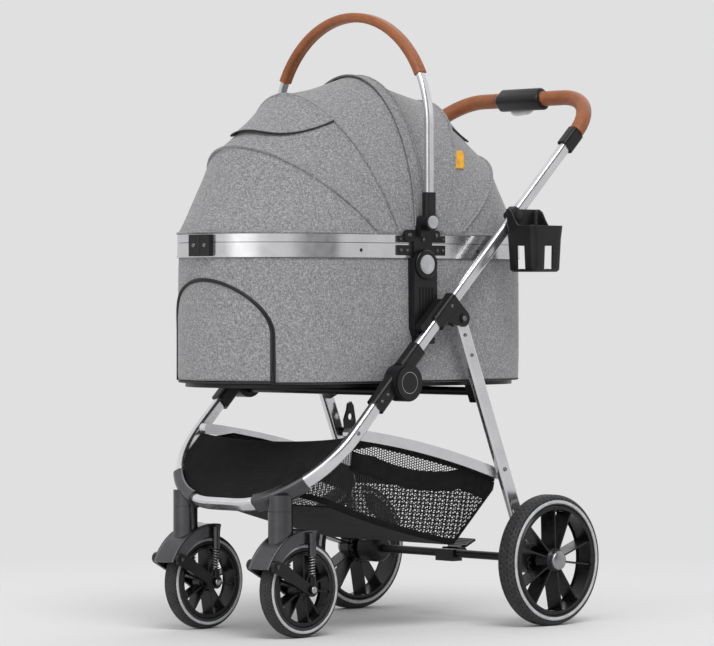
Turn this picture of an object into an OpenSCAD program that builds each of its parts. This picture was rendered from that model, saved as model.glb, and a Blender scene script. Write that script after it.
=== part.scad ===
// Pet stroller: a folding frame on four wheels with a lift-off carrier.
// Millimetres, +Z up, front towards -Y, left side at +X. The floor is z = 0.

/* [Frame] */
// Half the distance between the two long frame tubes
frame_half_w = 217; // [212:1:230]
// Section of the frame tubes across the plane of the frame
frame_tube_h = 26; // [22:1:30]
// Section of the frame tubes along the axle direction
frame_tube_w = 16; // [12:1:18]
// Wall of every aluminium tube
tube_wall = 1.6; // [1:0.2:3]
// Wall of the plastic sleeves on the tubes
sleeve_wall = 4; // [3:0.5:5]
// Place of the fold hub along the stroller
hub_y = -130; // [-150:1:-110]
// Height of the tube line over the hub
hub_line_z = 491; // [480:1:510]
// Drop from the tube line to the fold pivot
pivot_drop = 23; // [20:1:28]
// Slope of the front loop
front_slope = 45; // [42:0.5:48]
// Straight run of the front loop from the hub to its corners
front_run = 168; // [150:1:190]
// Corner radius of the front loop
front_corner_r = 182; // [150:1:190]
// Length of the upper hub sleeve
upper_sleeve_l = 58; // [50:1:80]
// Length of the lower hub sleeve
lower_sleeve_l = 96; // [60:1:110]
// Radius of the round fold hub
hub_r = 35; // [30:1:40]
// Thickness of the outer hub disc
hub_disc_t = 23; // [18:1:26]

/* [Handle] */
// Slope of the handle tubes
handle_slope = 44; // [40:0.5:48]
// Length from the hub to the middle of the push bar
handle_reach = 766; // [700:1:820]
// Corner radius of the push bar
handle_corner_r = 108; // [80:1:130]
// Diameter of the leather grip
grip_d = 30; // [28:1:36]
// Length of the collar below the grip
handle_collar_l = 43; // [25:1:60]
// Length of the release housing on the push bar
housing_l = 140; // [110:1:160]
// Height and depth of the release housing
housing_d = 38; // [34:1:44]
// Length of the release lever
lever_l = 72; // [50:1:90]
// Depth of the release lever below the housing
lever_drop = 12; // [8:1:16]
// Width of the release lever
lever_w = 13; // [8:1:18]
// Travel of the release lever
lever_travel = 5; // [3:0.5:5]

/* [Rear legs] */
// Distance up the handle tube to the leg pivot
leg_pivot_run = 176; // [165:1:185]
// Distance of the leg pivot below the handle tube line
leg_pivot_drop = 36.5; // [35:0.5:42]
// Section of the rear legs seen from the side
leg_h = 29; // [24:1:32]
// Thickness of the rear legs
leg_w = 15; // [12:1:16]
// Distance down the leg to the pivot of the basket bar
leg_bar_run = 323; // [300:1:340]
// Distance down the leg to its cross tube
leg_cross_run = 150; // [130:1:170]
// Diameter of the cross tubes
cross_d = 16; // [12:1:20]
// Place of the rear axle along the stroller
rear_axle_y = 211; // [190:1:230]

/* [Wheels] */
// Radius of the rear wheels
rear_wheel_r = 125; // [110:1:135]
// Width of the rear tyres
rear_tyre_w = 40; // [34:1:44]
// Distance of each rear wheel outside the long frame tube
rear_wheel_out = 54; // [51:1:72]
// Radius of the front wheels
front_wheel_r = 90; // [80:1:95]
// Width of the front tyres
front_tyre_w = 32; // [26:1:34]
// Distance of each caster pivot from the middle
caster_x = 133; // [125:1:142]
// Distance of the front wheel behind its caster pivot
trail = 46; // [38:1:50]
// Pairs of blades in each wheel
blade_pairs = 5; // [3:1:7]
// Thickness of a wheel blade
blade_t = 3.2; // [2.4:0.2:5]
// Angle between the two blades of a pair at the hub
blade_angle = 27; // [16:1:34]

/* [Casters] */
// Wall of the bracket that holds each caster on the front loop
bracket_wall = 3.5; // [3:0.5:5]
// Half the angle that each bracket spans on the corner of the loop
bracket_half_angle = 17; // [12:1:20]
// Diameter of the caster barrel
barrel_d = 46; // [40:1:52]
// Height of the seam under the caster bracket
seam_z = 234; // [226:1:238]
// Running gap at the caster seam
seam_gap = 0.6; // [0.3:0.1:1]
// Diameter of the caster spindle
spindle_d = 12; // [8:1:14]
// Half width of the fender
fender_half_w = 28; // [25:1:30]
// Gap between the front tyre and the outer face of the fender
fender_gap = 20; // [16:1:24]
// Wall of the fender
fender_wall = 4; // [3:0.5:6]
// Thickness of each trailing arm
arm_t = 8; // [6:0.5:10]
// Wire diameter of the suspension springs
wire_d = 2.2; // [1.6:0.2:3]
// Number of turns in each suspension spring
spring_turns = 7; // [5:1:9]
// Upward travel of the trailing arm in degrees
arm_travel = 3.5; // [2:0.5:4]

/* [Basket] */
// Height of the basket side bars
bar_h = 20; // [16:1:24]
// Thickness of the basket side bars
bar_t = 10; // [6:1:12]
// Rise of the bow in the side bars
bar_bow = 10; // [0:1:20]
// Greatest depth of the basket below the bars
basket_depth = 160; // [110:1:165]
// Sag of the basket's bottom
bag_sag = 8; // [0:1:12]
// Distance that each side of the basket draws in at its deepest
bag_taper = 26; // [0:1:50]
// Thickness of the fabric
fabric_t = 2.5; // [1.5:0.5:4]

/* [Carrier] */
// Place of the middle of the carrier along the stroller
carrier_y = -52; // [-70:1:-40]
// Half width of the carrier tub
tub_half_w = 185; // [170:1:190]
// Half length of the carrier tub
tub_half_l = 377; // [340:1:400]
// Underside of the carrier
base_z = 459.3; // [459.3:0.1:470]
// Height from the underside of the carrier to the lower rail
tub_h = 241; // [200:1:260]
// Thickness of the stiff base
base_t = 7; // [5:1:12]
// Inset of the stiff base under the tub
base_inset = 12; // [6:1:20]
// Wall of the padded tub
tub_wall = 5; // [3:0.5:8]
// Height of the lower rail
lower_rail_h = 27; // [20:1:32]
// Height of the upper rail
upper_rail_h = 15; // [12:1:20]
// Thickness of the rails
rail_t = 8; // [6:1:10]
// Thickness of the mat
mat_t = 18; // [10:1:30]
// Half width of the adapter that locks the carrier to the frame
adapter_half_w = 30; // [24:1:36]
// Drop of the adapter below the top of the upper rail
adapter_l = 192; // [170:1:200]
// Diameter of the adapter button
adapter_button_d = 36; // [28:1:40]
// Travel of the push buttons
button_travel = 3; // [2:0.5:4]

/* [Door] */
// Half the angle that the front door spans on the round end
door_half_angle = 45; // [30:1:55]
// Height of the straight sides of the door
door_side_h = 84; // [60:1:100]
// Rise of the door's arch over its straight sides
door_rise = 103; // [60:1:110]
// Gap round the door
door_gap = 0.8; // [0.5:0.1:1.5]

/* [Carry handle] */
// Half the span of the carry handle
carry_half_w = 211; // [206:1:216]
// Height of the carry handle pivot above the upper rail
carry_pivot_up = 24; // [22:1:28]
// Length of the straight side of the carry handle above its pivot
carry_side_l = 184; // [150:1:200]
// Section of the carry handle across its width
carry_tube_h = 18; // [14:1:20]
// Thickness of the carry handle tube
carry_tube_w = 12; // [10:1:14]
// Angle from each side where the leather of the carry handle begins
carry_grip_start = 27; // [15:1:45]
// Thickness of the leather on the carry handle
carry_leather = 3; // [2:0.5:4]

/* [Canopy] */
// Height of the canopy pivots above the top of the upper rail
bow_pivot_up = 8; // [7:1:12]
// Length of the middle bow from its pivots to its top
middle_bow_l = 296.5; // [280:0.5:320]
// Length of the two next bows
second_bow_l = 280.5; // [260:0.5:300]
// Length of the two outer bows
outer_bow_l = 243; // [225:0.5:260]
// Slope of the two next bows
second_bow_slope = 64.7; // [60:0.1:68]
// Slope of the two outer bows
outer_bow_slope = 39.2; // [34:0.1:44]
// Distance of the feet of the two next bows from the middle
second_foot_run = 55; // [50:1:62]
// Distance of the feet of the two outer bows from the middle
outer_foot_run = 112; // [106:1:118]
// Distance of the pins that the folding bows turn on from the middle
fold_pin_run = 84; // [80:1:88]
// Thickness of the flat ends of the bows
bow_end_t = 3; // [2:0.5:4]
// Width of the flat bows
bow_w = 6; // [4:1:8]
// Dip of the canopy fabric between two bows
gore_dip = 5; // [0:1:12]
// Thickness of the canopy fabric
canopy_t = 1.4; // [1:0.2:2.4]

/* [Cup holder] */
// Distance up the handle tube to the cup holder clamp
cup_run = 438; // [380:1:470]
// Width of the cup holder at its rim
cup_w = 74; // [60:1:84]
// Depth of the cup holder
cup_depth = 96; // [80:1:120]
// Dip of the cup holder's rim on the outside
cup_dip = 32; // [20:1:40]
// Wall of the cup holder
cup_wall = 3; // [2:0.5:4]

/* [Hidden] */
$fn = 48;
silver = "#c9ccd0";
plastic = "#2c2d30";
leather = "#a65f2e";
grey_cloth = "#8f9092";
black_cloth = "#1d1d20";
rubber = "#26272a";
run_fit = 0.05;
bow_pin_r = 2.5;
cloth_gap = 2;
slack = 0.3;
hub_gap = 0.4;
// fold pivot and rear leg pivot
pivot_z = hub_line_z - pivot_drop;
// each tube ends outside the round of the hub
front_tube_from = pivot_drop * sin(front_slope) + hub_r + 1;
handle_tube_from = hub_r + 1 - pivot_drop * sin(handle_slope);
leg_y = hub_y + leg_pivot_run * cos(handle_slope) + leg_pivot_drop * sin(handle_slope);
leg_z = hub_line_z + leg_pivot_run * sin(handle_slope) - leg_pivot_drop * cos(handle_slope);
leg_l = sqrt(pow(rear_axle_y - leg_y, 2) + pow(leg_z - rear_wheel_r, 2));
leg_angle = atan2(rear_axle_y - leg_y, leg_z - rear_wheel_r);
rear_half_track = frame_half_w + rear_wheel_out;
// basket bar pivots: on the front loop and on the rear leg
bar_run = front_run - 4;
bar_front_y = hub_y - bar_run * cos(front_slope);
bar_front_z = hub_line_z - bar_run * sin(front_slope);
bar_rear_y = leg_y + leg_bar_run * sin(leg_angle);
bar_rear_z = leg_z - leg_bar_run * cos(leg_angle);
bar_l = sqrt(pow(bar_rear_y - bar_front_y, 2) + pow(bar_rear_z - bar_front_z, 2));
bar_angle = atan2(bar_rear_z - bar_front_z, bar_rear_y - bar_front_y);
bar_x = frame_half_w - frame_tube_w / 2 - slack - bar_t / 2 - 3;
// caster pivots lie under the corners of the front loop
corner_x = frame_half_w - front_corner_r;
caster_turn = acos((caster_x - corner_x) / front_corner_r);
caster_run = front_run + front_corner_r * sin(caster_turn);
caster_y = hub_y - caster_run * cos(front_slope);
caster_tube_z = hub_line_z - caster_run * sin(front_slope);
fender_r = front_wheel_r + fender_gap;
arm_x = fender_half_w + 1 + arm_t / 2;
arm_pivot_r = fender_r - 12;
arm_pivot_angle = 152;
strut_top = fender_r - 6;
spring_low = 24;
spring_high = 62;
axle_r = 5;
// brake pedal pivot, behind and above the axle
pedal_y = rear_axle_y + 19.5;
pedal_z = rear_wheel_r + 4;
// ends of the basket's bag
bag_front_y = caster_y + barrel_d / 2 + 3;
bag_rear_low_y = bar_rear_y - 92;
bag_rear_y = bar_rear_y - 3;
// carrier heights and reach
tub_z = base_z + base_t;
lower_rail_z = base_z + tub_h;
upper_rail_z = lower_rail_z + lower_rail_h + 1;
rail_top = upper_rail_z + upper_rail_h;
rail_half_w = tub_half_w + 3;
tub_straight = tub_half_l - tub_half_w;
collar_half_w = frame_tube_w / 2 + sleeve_wall + 0.5;
adapter_out = frame_half_w - collar_half_w - 1;
adapter_low = rail_top - adapter_l;
adapter_button_z = lower_rail_z - 12;
carry_pivot_z = rail_top + carry_pivot_up;
bow_z = rail_top + bow_pivot_up;
// door arch
door_half_w = tub_half_w * sin(door_half_angle);
door_z = tub_z + tub_wall;
floor_z = tub_z + tub_wall;
cup_x = frame_half_w + collar_half_w;
housing_half = housing_l / 2;

// ---- shared shapes ----

// rounded rectangle made of true arcs
module rounded(wide, high, r) {
  square([wide - 2 * r, high], center = true);
  square([wide, high - 2 * r], center = true);
  for (i = [-1, 1])
    for (j = [-1, 1])
      translate([i * (wide / 2 - r), j * (high / 2 - r)])
        circle(r);
}

// wall of a tube: outer outline less its bore
module tube_section(wide, high, wall, r) {
  difference() {
    rounded(wide, high, r);
    rounded(wide - 2 * wall, high - 2 * wall, max(r - wall, 0.6));
  }
}

// sweeps a section along a U whose two legs run along +Y
module u_sweep(half_w, from, reach, corner_r) {
  for (side = [0, 1])
    mirror([side, 0, 0]) {
      translate([half_w, reach - corner_r, 0])
        rotate([90, 0, 0])
          linear_extrude(reach - corner_r - from)
            children();
      translate([half_w - corner_r, reach - corner_r, 0])
        rotate_extrude(angle = 90)
          translate([corner_r, 0])
            children();
    }
  translate([-(half_w - corner_r), reach, 0])
    rotate([90, 0, 90])
      linear_extrude(2 * (half_w - corner_r))
        children();
}

// both sides of the stroller
module both_sides() {
  children();
  mirror([1, 0, 0])
    children();
}

// plane of the front loop: +Y runs down to the front
module front_plane() {
  translate([0, hub_y, hub_line_z])
    rotate([front_slope, 0, 0])
      mirror([0, 1, 0])
        children();
}

// plane of the handle: +Y runs up to the rear
module handle_plane() {
  translate([0, hub_y, hub_line_z])
    rotate([handle_slope, 0, 0])
      children();
}

// a flat outline in the side view, given thickness along X from x0 to x1
module side_plate(x0, x1) {
  translate([x0, 0, 0])
    rotate([90, 0, 90])
      linear_extrude(x1 - x0)
        children();
}

// round bar along X at a place in the side view
module x_bar(y, z, x0, x1, r) {
  translate([x0, y, z])
    rotate([0, 90, 0])
      cylinder(h = x1 - x0, r = r);
}

// outside of a sleeve, before its socket is cut
module solid_sleeve(from, to, wide, high) {
  translate([frame_half_w, to, 0])
    rotate([90, 0, 0])
      linear_extrude(to - from)
        rounded(wide + 2 * sleeve_wall, high + 2 * sleeve_wall, 7);
}

// room for a tube's end inside a sleeve
module tube_socket(from, to, wide, high, r) {
  translate([frame_half_w, to, 0])
    rotate([90, 0, 0])
      linear_extrude(to - from)
        rounded(wide, high, r);
}

// straight sleeve round a tube, along +Y of the current plane
module sleeve(from, to, wide, high, wall) {
  translate([frame_half_w, to, 0])
    rotate([90, 0, 0])
      linear_extrude(to - from)
        tube_section(wide + 2 * wall, high + 2 * wall, wall, 7);
}

// long shape with straight sides and round ends, seen from above
module stadium(half_w, half_l) {
  square([2 * half_w, 2 * (half_l - half_w)], center = true);
  for (end = [-1, 1])
    translate([0, end * (half_l - half_w)])
      circle(half_w, $fn = 96);
}

// band that follows the carrier's outline
module stadium_band(outer, thick) {
  difference() {
    stadium(outer, outer + tub_straight);
    stadium(outer - thick, outer - thick + tub_straight);
  }
}

module at_carrier(z) {
  translate([0, carrier_y, z])
    children();
}

// ---- front frame ----

module front_tube() {
  color(silver)
    front_plane()
      u_sweep(frame_half_w, front_tube_from, front_run + front_corner_r, front_corner_r)
        tube_section(frame_tube_w, frame_tube_h, tube_wall, 6.5);
}

// sleeve with the inner knuckle of the fold hub and its pin
module front_sleeves() {
  color(plastic)
    both_sides()
      difference() {
        union() {
          front_plane()
            solid_sleeve(2, lower_sleeve_l, frame_tube_w, frame_tube_h);
          x_bar(hub_y, pivot_z, frame_half_w - collar_half_w + 0.5, frame_half_w - slack / 2, hub_r);
          x_bar(hub_y, pivot_z, frame_half_w - 2, frame_half_w + hub_disc_t - 5, axle_r);
        }
        difference() {
          x_bar(hub_y, pivot_z, frame_half_w - slack / 2, frame_half_w + 30, hub_r + hub_gap);
          x_bar(hub_y, pivot_z, frame_half_w - 1, frame_half_w + 31, axle_r);
        }
        front_plane()
          tube_socket(front_tube_from, lower_sleeve_l + 1, frame_tube_w, frame_tube_h, 6.5);
      }
}

module caster_brackets() {
  spread = bracket_half_angle;
  color(plastic)
    both_sides()
      difference() {
        union() {
          front_plane()
            translate([corner_x, front_run, 0])
              rotate([0, 0, caster_turn - spread])
                rotate_extrude(angle = 2 * spread)
                  translate([front_corner_r, 0])
                    rounded(frame_tube_w + 2 * bracket_wall, frame_tube_h + 2 * bracket_wall, 8);
          translate([caster_x, caster_y, seam_z + seam_gap])
            cylinder(h = caster_tube_z - seam_z, d = barrel_d);
        }
        front_plane()
          translate([corner_x, front_run, 0])
            rotate([0, 0, caster_turn - spread - 4])
              rotate_extrude(angle = 2 * spread + 8)
                translate([front_corner_r, 0])
                  rounded(frame_tube_w, frame_tube_h, 6.5);
        translate([caster_x, caster_y, seam_z])
          cylinder(h = 12.5, d = spindle_d + 2 * run_fit);
      }
}

module front_cross_tube() {
  span = frame_half_w - collar_half_w;
  tube_z = base_z - slack - cross_d / 2;
  color(plastic)
    difference() {
      x_bar(hub_y, tube_z, -span + 0.5, span - 0.5, cross_d / 2);
      x_bar(hub_y, tube_z, -span - 1, span + 1, cross_d / 2 - tube_wall);
    }
}

// stretched cloth that fills the front loop below its pivots
module front_panel() {
  panel_w = frame_half_w - frame_tube_w / 2 - slack;
  panel_r = front_corner_r - frame_tube_w / 2 - slack;
  top = bar_run + bar_h / 2 + 4;
  color(black_cloth)
    front_plane()
      translate([0, 0, 4])
        linear_extrude(fabric_t)
          difference() {
            union() {
              translate([-bar_x + bar_t + 4, bar_run - 4])
                square([2 * (bar_x - bar_t - 4), top - bar_run + 8]);
              for (side = [-1, 1])
                translate([side * corner_x, front_run])
                  intersection() {
                    circle(panel_r, $fn = 96);
                    translate([side > 0 ? 0 : -panel_r, top - front_run])
                      square([panel_r, panel_r]);
                  }
              translate([-corner_x, top])
                square([2 * corner_x, panel_r - top + front_run]);
            }
            // clear of the caster brackets
            for (side = [0, 1])
              mirror([side, 0])
                translate([corner_x, front_run])
                  rotate(caster_turn)
                    intersection() {
                      difference() {
                        circle(front_corner_r + 20);
                        circle(panel_r - bracket_wall, $fn = 96);
                      }
                      polygon([[0, 0], [300, -300 * tan(bracket_half_angle + 0.5)],
                        [300, 300 * tan(bracket_half_angle + 0.5)]]);
                    }
          }
}

// ---- handle frame ----

module handle_tube() {
  color(silver)
    handle_plane()
      u_sweep(frame_half_w, handle_tube_from, handle_reach, handle_corner_r)
        tube_section(frame_tube_w, frame_tube_h - 2, tube_wall, 7);
}

module hub_shells() {
  out = frame_half_w + hub_disc_t;
  color(plastic)
    both_sides()
      difference() {
        union() {
          handle_plane()
            solid_sleeve(2, upper_sleeve_l, frame_tube_w, frame_tube_h - 2);
          x_bar(hub_y, pivot_z, frame_half_w + slack / 2, out - 3, hub_r);
          x_bar(hub_y, pivot_z, out - 3.1, out, hub_r - 3);
        }
        x_bar(hub_y, pivot_z, frame_half_w - 30, frame_half_w + slack / 2, hub_r + hub_gap);
        x_bar(hub_y, pivot_z, frame_half_w - 1, out - 4.8, axle_r + run_fit);
        difference() {
          x_bar(hub_y, pivot_z, out - 1.2, out + 1, 20.5);
          x_bar(hub_y, pivot_z, out - 2, out + 2, 19);
        }
        handle_plane()
          tube_socket(handle_tube_from, upper_sleeve_l + 1, frame_tube_w, frame_tube_h - 2, 7);
      }
}

// collar with the clevis of the rear leg
module leg_collars() {
  low = leg_pivot_run - 52;
  high = leg_pivot_run + 14;
  inner = frame_half_w - collar_half_w;
  ear_in = frame_half_w - leg_w / 2 - 0.7;
  ear_out = frame_half_w + leg_w / 2 + 0.7;
  color(plastic)
    both_sides()
      difference() {
        union() {
          handle_plane()
            solid_sleeve(low, high, frame_tube_w + 1, frame_tube_h - 1);
          handle_plane() {
            side_plate(inner, ear_in)
              leg_ear(low, high);
            side_plate(ear_out, frame_half_w + collar_half_w)
              leg_ear(low, high);
            side_plate(inner, frame_half_w + 5)
              polygon([[low - 36, 13.2], [high - 22, 13.2], [high - 26, 26], [low - 36, 26]]);
          }
          x_bar(leg_y, leg_z, inner, frame_half_w + collar_half_w + 2, axle_r);
          x_bar(leg_y, leg_z, frame_half_w + collar_half_w - 1, frame_half_w + collar_half_w + 3, 9);
        }
        handle_plane()
          tube_socket(low - 40, high + 40, frame_tube_w, frame_tube_h - 2, 7);
        receiver_hanger();
      }
}

// tongue of the receiver, let into the web of the collar
module receiver_hanger() {
  inner = frame_half_w - collar_half_w;
  web_out = frame_half_w - frame_tube_w / 2 - 0.2;
  translate([inner, carrier_y - adapter_half_w + 4, adapter_low - 12])
    cube([web_out - inner, 22, 34]);
}

// shelf on each side that the adapter of the carrier stands on
module carrier_receivers() {
  color(plastic)
    both_sides() {
      receiver_hanger();
      translate([frame_half_w - collar_half_w - 13, carrier_y - adapter_half_w + 4, adapter_low - 12])
        cube([13, 2 * adapter_half_w - 12, 12 - slack]);
    }
}

module leg_ear(low, high) {
  translate([leg_pivot_run, -leg_pivot_drop])
    circle(16);
  polygon([[low + 18, -12], [high, -12], [leg_pivot_run + 16, -leg_pivot_drop],
    [leg_pivot_run - 14, -leg_pivot_drop - 8]]);
}

module handle_collars() {
  top = handle_reach - handle_corner_r;
  color(plastic)
    both_sides()
      handle_plane()
        sleeve(top - handle_collar_l, top, frame_tube_w, frame_tube_h - 2, sleeve_wall);
}

module grip_section() {
  difference() {
    circle(d = grip_d);
    rounded(frame_tube_w, frame_tube_h - 2, 7);
  }
}

module handle_grip() {
  color(leather)
    handle_plane()
      both_sides() {
        translate([frame_half_w - handle_corner_r, handle_reach - handle_corner_r, 0])
          rotate_extrude(angle = 90)
            translate([handle_corner_r, 0])
              grip_section();
        translate([housing_half, handle_reach, 0])
          rotate([90, 0, 90])
            linear_extrude(frame_half_w - handle_corner_r - housing_half)
              grip_section();
      }
}

module handle_housing() {
  color(plastic)
    handle_plane()
      translate([-housing_half, handle_reach, 0])
        difference() {
          rotate([90, 0, 90])
            linear_extrude(housing_l)
              difference() {
                rounded(housing_d, housing_d, 13);
                rounded(frame_tube_w, frame_tube_h - 2, 7);
              }
          translate([housing_half - lever_l / 2 - slack, -lever_w / 2 - slack, -housing_d / 2 - 1])
            cube([lever_l + 2 * slack, lever_w + 2 * slack, lever_travel + 2.3]);
        }
}

// squeezed up into the housing to unlock the fold
module release_lever() {
  bulge_r = (pow(lever_l / 2, 2) + pow(lever_drop, 2)) / (2 * lever_drop);
  color(silver)
    handle_plane()
      translate([0, handle_reach, 1 - housing_d / 2])
        rotate([90, 0, 0])
          translate([0, 0, -lever_w / 2])
            linear_extrude(lever_w)
              intersection() {
                translate([0, bulge_r - lever_drop])
                  circle(bulge_r, $fn = 96);
                translate([-lever_l / 2, -lever_drop])
                  square([lever_l, lever_drop]);
              }
}

// rim of the cup holder: high beside the tube and low on the outside
function cup_rim(i) = [cup_x + 10 + i * 2.4, -(1 + cos(i * 18)) * cup_dip / 2];

module cup_side(inset, floor_up) {
  polygon(concat(
    [[cup_x + 8 + inset, -cup_depth - 24 + floor_up],
     [cup_x + cup_w - 6 - inset, -cup_depth - 24 + floor_up],
     [cup_x + cup_w - inset, floor_up > 0 ? 1 : -cup_dip]],
    floor_up > 0 ? [] : [for (i = [10:-1:0]) [cup_rim(i)[0], (cos(i * 18) - 1) * cup_dip / 2]],
    [[cup_x + inset, floor_up > 0 ? 1 : 0]]));
}

module cup_solid(inset, floor_up) {
  half = cup_w / 2 - inset;
  intersection() {
    translate([0, cup_w, 0])
      rotate([90, 0, 0])
        linear_extrude(2 * cup_w)
          cup_side(inset, floor_up);
    side_plate(cup_x - 1, cup_x + cup_w + 1)
      polygon([[-half + 7, -cup_depth - 24 + floor_up], [half - 7, -cup_depth - 24 + floor_up],
        [half, 1], [-half, 1]]);
  }
}

module cup_holder() {
  cup_y = hub_y + cup_run * cos(handle_slope);
  cup_z = hub_line_z + cup_run * sin(handle_slope);
  slot_w = 16;
  color(plastic) {
    translate([0, cup_y, cup_z])
      difference() {
        cup_solid(0, 0);
        cup_solid(cup_wall, cup_wall);
        translate([cup_x + cup_w / 2 - slot_w / 2, -cup_w, -cup_depth - 16])
          cube([slot_w, 2 * cup_w, 48]);
        translate([cup_x + 14, -slot_w / 2, -cup_depth - 16])
          cube([cup_w, slot_w, 48]);
      }
    handle_plane()
      sleeve(cup_run - 16, cup_run + 16, frame_tube_w, frame_tube_h - 2, sleeve_wall + 0.5);
  }
}

// ---- rear frame ----

// side view placed at the leg pivot, with +Y of the outline up the leg
module along_leg() {
  translate([0, leg_y, leg_z])
    rotate([180 + leg_angle, 0, 0])
      children();
}

module rear_legs() {
  foot = leg_l - 14;
  color(silver)
    both_sides()
      difference() {
        union() {
          along_leg()
            translate([frame_half_w, 0, 0])
              linear_extrude(foot)
                tube_section(leg_w, leg_h, tube_wall, 5.5);
          x_bar(leg_y, leg_z, frame_half_w - leg_w / 2 - 0.2, frame_half_w + leg_w / 2 + 0.2,
            leg_h / 2 + 1);
        }
        x_bar(leg_y, leg_z, frame_half_w - leg_w, frame_half_w + leg_w, axle_r + run_fit);
      }
}

module rear_cross_tube() {
  cross_y = leg_y + leg_cross_run * sin(leg_angle);
  cross_z = leg_z - leg_cross_run * cos(leg_angle);
  end = frame_half_w - leg_w / 2;
  color(plastic) {
    difference() {
      x_bar(cross_y, cross_z, -end + 14, end - 14, cross_d / 2);
      x_bar(cross_y, cross_z, -end, end, cross_d / 2 - tube_wall);
    }
    both_sides()
      along_leg()
        translate([end - 8, 0, leg_cross_run])
          cube([16, leg_h - 4, 36], center = true);
  }
}

module rear_axle() {
  housing_in = frame_half_w - leg_w / 2 - 26;
  color(plastic) {
    x_bar(rear_axle_y, rear_wheel_r, -housing_in, housing_in, 8);
    both_sides()
      x_bar(rear_axle_y, rear_wheel_r, rear_half_track - rear_tyre_w / 2 - 1,
        rear_half_track + 12, 6);
    // block that carries the brake pedal
    difference() {
      union() {
        translate([-24, rear_axle_y - 13, rear_wheel_r - 15])
          cube([48, 26, 23]);
        for (side = [-1, 1]) {
          translate([side * 21 - 3, rear_axle_y + 6, pedal_z - 7])
            cube([6, pedal_y - rear_axle_y - 6, 14]);
          x_bar(pedal_y, pedal_z, side * 21 - 3, side * 21 + 3, 7);
        }
      }
      x_bar(rear_axle_y, rear_wheel_r, -30, 30, 8);
      x_bar(pedal_y, pedal_z, -30, 30, 3 + run_fit);
    }
  }
}

// bell housings that take the foot of each leg and carry the brake ring
module axle_housings() {
  wheel_in = rear_half_track - rear_tyre_w / 2;
  out = wheel_in - 1.3;
  inner = frame_half_w - leg_w / 2 - 26;
  teeth = 16;
  color(plastic)
    both_sides()
      difference() {
        union() {
          translate([inner, rear_axle_y, rear_wheel_r])
            rotate([0, 90, 0])
              rotate_extrude()
                polygon([[8, 0], [18, 0], [23, 3], [27, 9], [28, 20], [28, 48], [24, 54],
                  [19, 56], [19, out - inner - 6], [8, out - inner - 6]]);
          x_bar(rear_axle_y, rear_wheel_r, out - 6.1, out, 29);
          for (i = [0:teeth - 1])
            translate([out - 5, rear_axle_y, rear_wheel_r])
              rotate([i * 360 / teeth, 0, 0])
                translate([0, -3, 27])
                  cube([4, 6, 6]);
        }
        x_bar(rear_axle_y, rear_wheel_r, inner - 1, out + 1, 6);
        along_leg()
          translate([frame_half_w, 0, leg_l - 50])
            linear_extrude(36.1)
              rounded(leg_w, leg_h, 5.5);
      }
}

module brake_pedal() {
  half = 17.6;
  color(plastic) {
    x_bar(pedal_y, pedal_z, -half, half, 5.5);
    x_bar(pedal_y, pedal_z, -23.5, 23.5, 3);
    translate([0, pedal_y, pedal_z])
      rotate([24, 0, 0])
        difference() {
          union() {
            translate([-half, -2, 2])
              cube([2 * half, 14, 7]);
            translate([-26, 7, 5])
              cube([52, 28, 4.5]);
          }
          for (i = [0:3])
            translate([-22, 12 + i * 6, 8.6])
              cube([44, 2.4, 2]);
        }
  }
}

// hook on the inner face of the right leg that holds the frame folded
module fold_latch() {
  run = leg_cross_run + 95;
  latch_y = leg_y + run * sin(leg_angle) + 7;
  latch_z = leg_z - run * cos(leg_angle);
  face = -(frame_half_w - leg_w / 2);
  color(plastic)
    difference() {
      union() {
        x_bar(latch_y, latch_z, face + slack, face + 23, 9);
        translate([0, latch_y, latch_z])
          side_plate(face + 16, face + 22)
            polygon([[-12, 6], [13, 2], [16, 22], [10, 52], [4, 60], [-4, 56], [-6, 44], [-14, 24]]);
      }
      x_bar(latch_y + 2, latch_z + 30, face, face + 30, 7);
    }
}

// ---- basket ----

// height of the bowed bar line at a distance u along it
function bow_at(u) = 4 * bar_bow * (u / bar_l) * (1 - u / bar_l);

module bar_frame() {
  translate([0, bar_front_y, bar_front_z])
    rotate([bar_angle, 0, 0])
      children();
}

module basket_bars() {
  steps = 12;
  bush_out = frame_half_w - frame_tube_w / 2 - 2 * slack;
  color(silver)
    both_sides()
      bar_frame() {
        side_plate(bar_x - bar_t / 2, bar_x + bar_t / 2)
          polygon(concat(
            [for (i = [0:steps]) [i * bar_l / steps, bow_at(i * bar_l / steps) - bar_h / 2]],
            [for (i = [steps:-1:0]) [i * bar_l / steps, bow_at(i * bar_l / steps) + bar_h / 2]]));
        x_bar(0, 0, bar_x - bar_t / 2 - 3, bush_out, bar_h / 2 + 1);
      }
}

// height of the bar line at a place along the stroller
function bar_z(y) = bar_front_z + (y - bar_front_y) * tan(bar_angle)
  + bow_at((y - bar_front_y) / cos(bar_angle)) / cos(bar_angle);

// underside of the front loop at a place along the stroller
function loop_under(y) = hub_line_z + (y - hub_y) * tan(front_slope)
  - (frame_tube_h / 2 + bracket_wall + 1) / cos(front_slope);

function between(y, y0, z0, y1, z1) = z0 + (z1 - z0) * (y - y0) / (y1 - y0);

// bottom of the bag: down towards the rear, then up steeply to its rear edge
function bag_low(y) = y < bag_rear_low_y
  ? between(y, bag_front_y, loop_under(bag_front_y) - 3, bag_rear_low_y, bar_z(bag_rear_low_y) - basket_depth)
    - bag_sag * sin(180 * between(y, bag_front_y, 0, bag_rear_low_y, 1))
  : between(y, bag_rear_low_y, bar_z(bag_rear_low_y) - basket_depth, bag_rear_y, bar_z(bag_rear_y) - 28);

function bag_top(y) = min(loop_under(y), bar_z(y) - 2);

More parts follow.
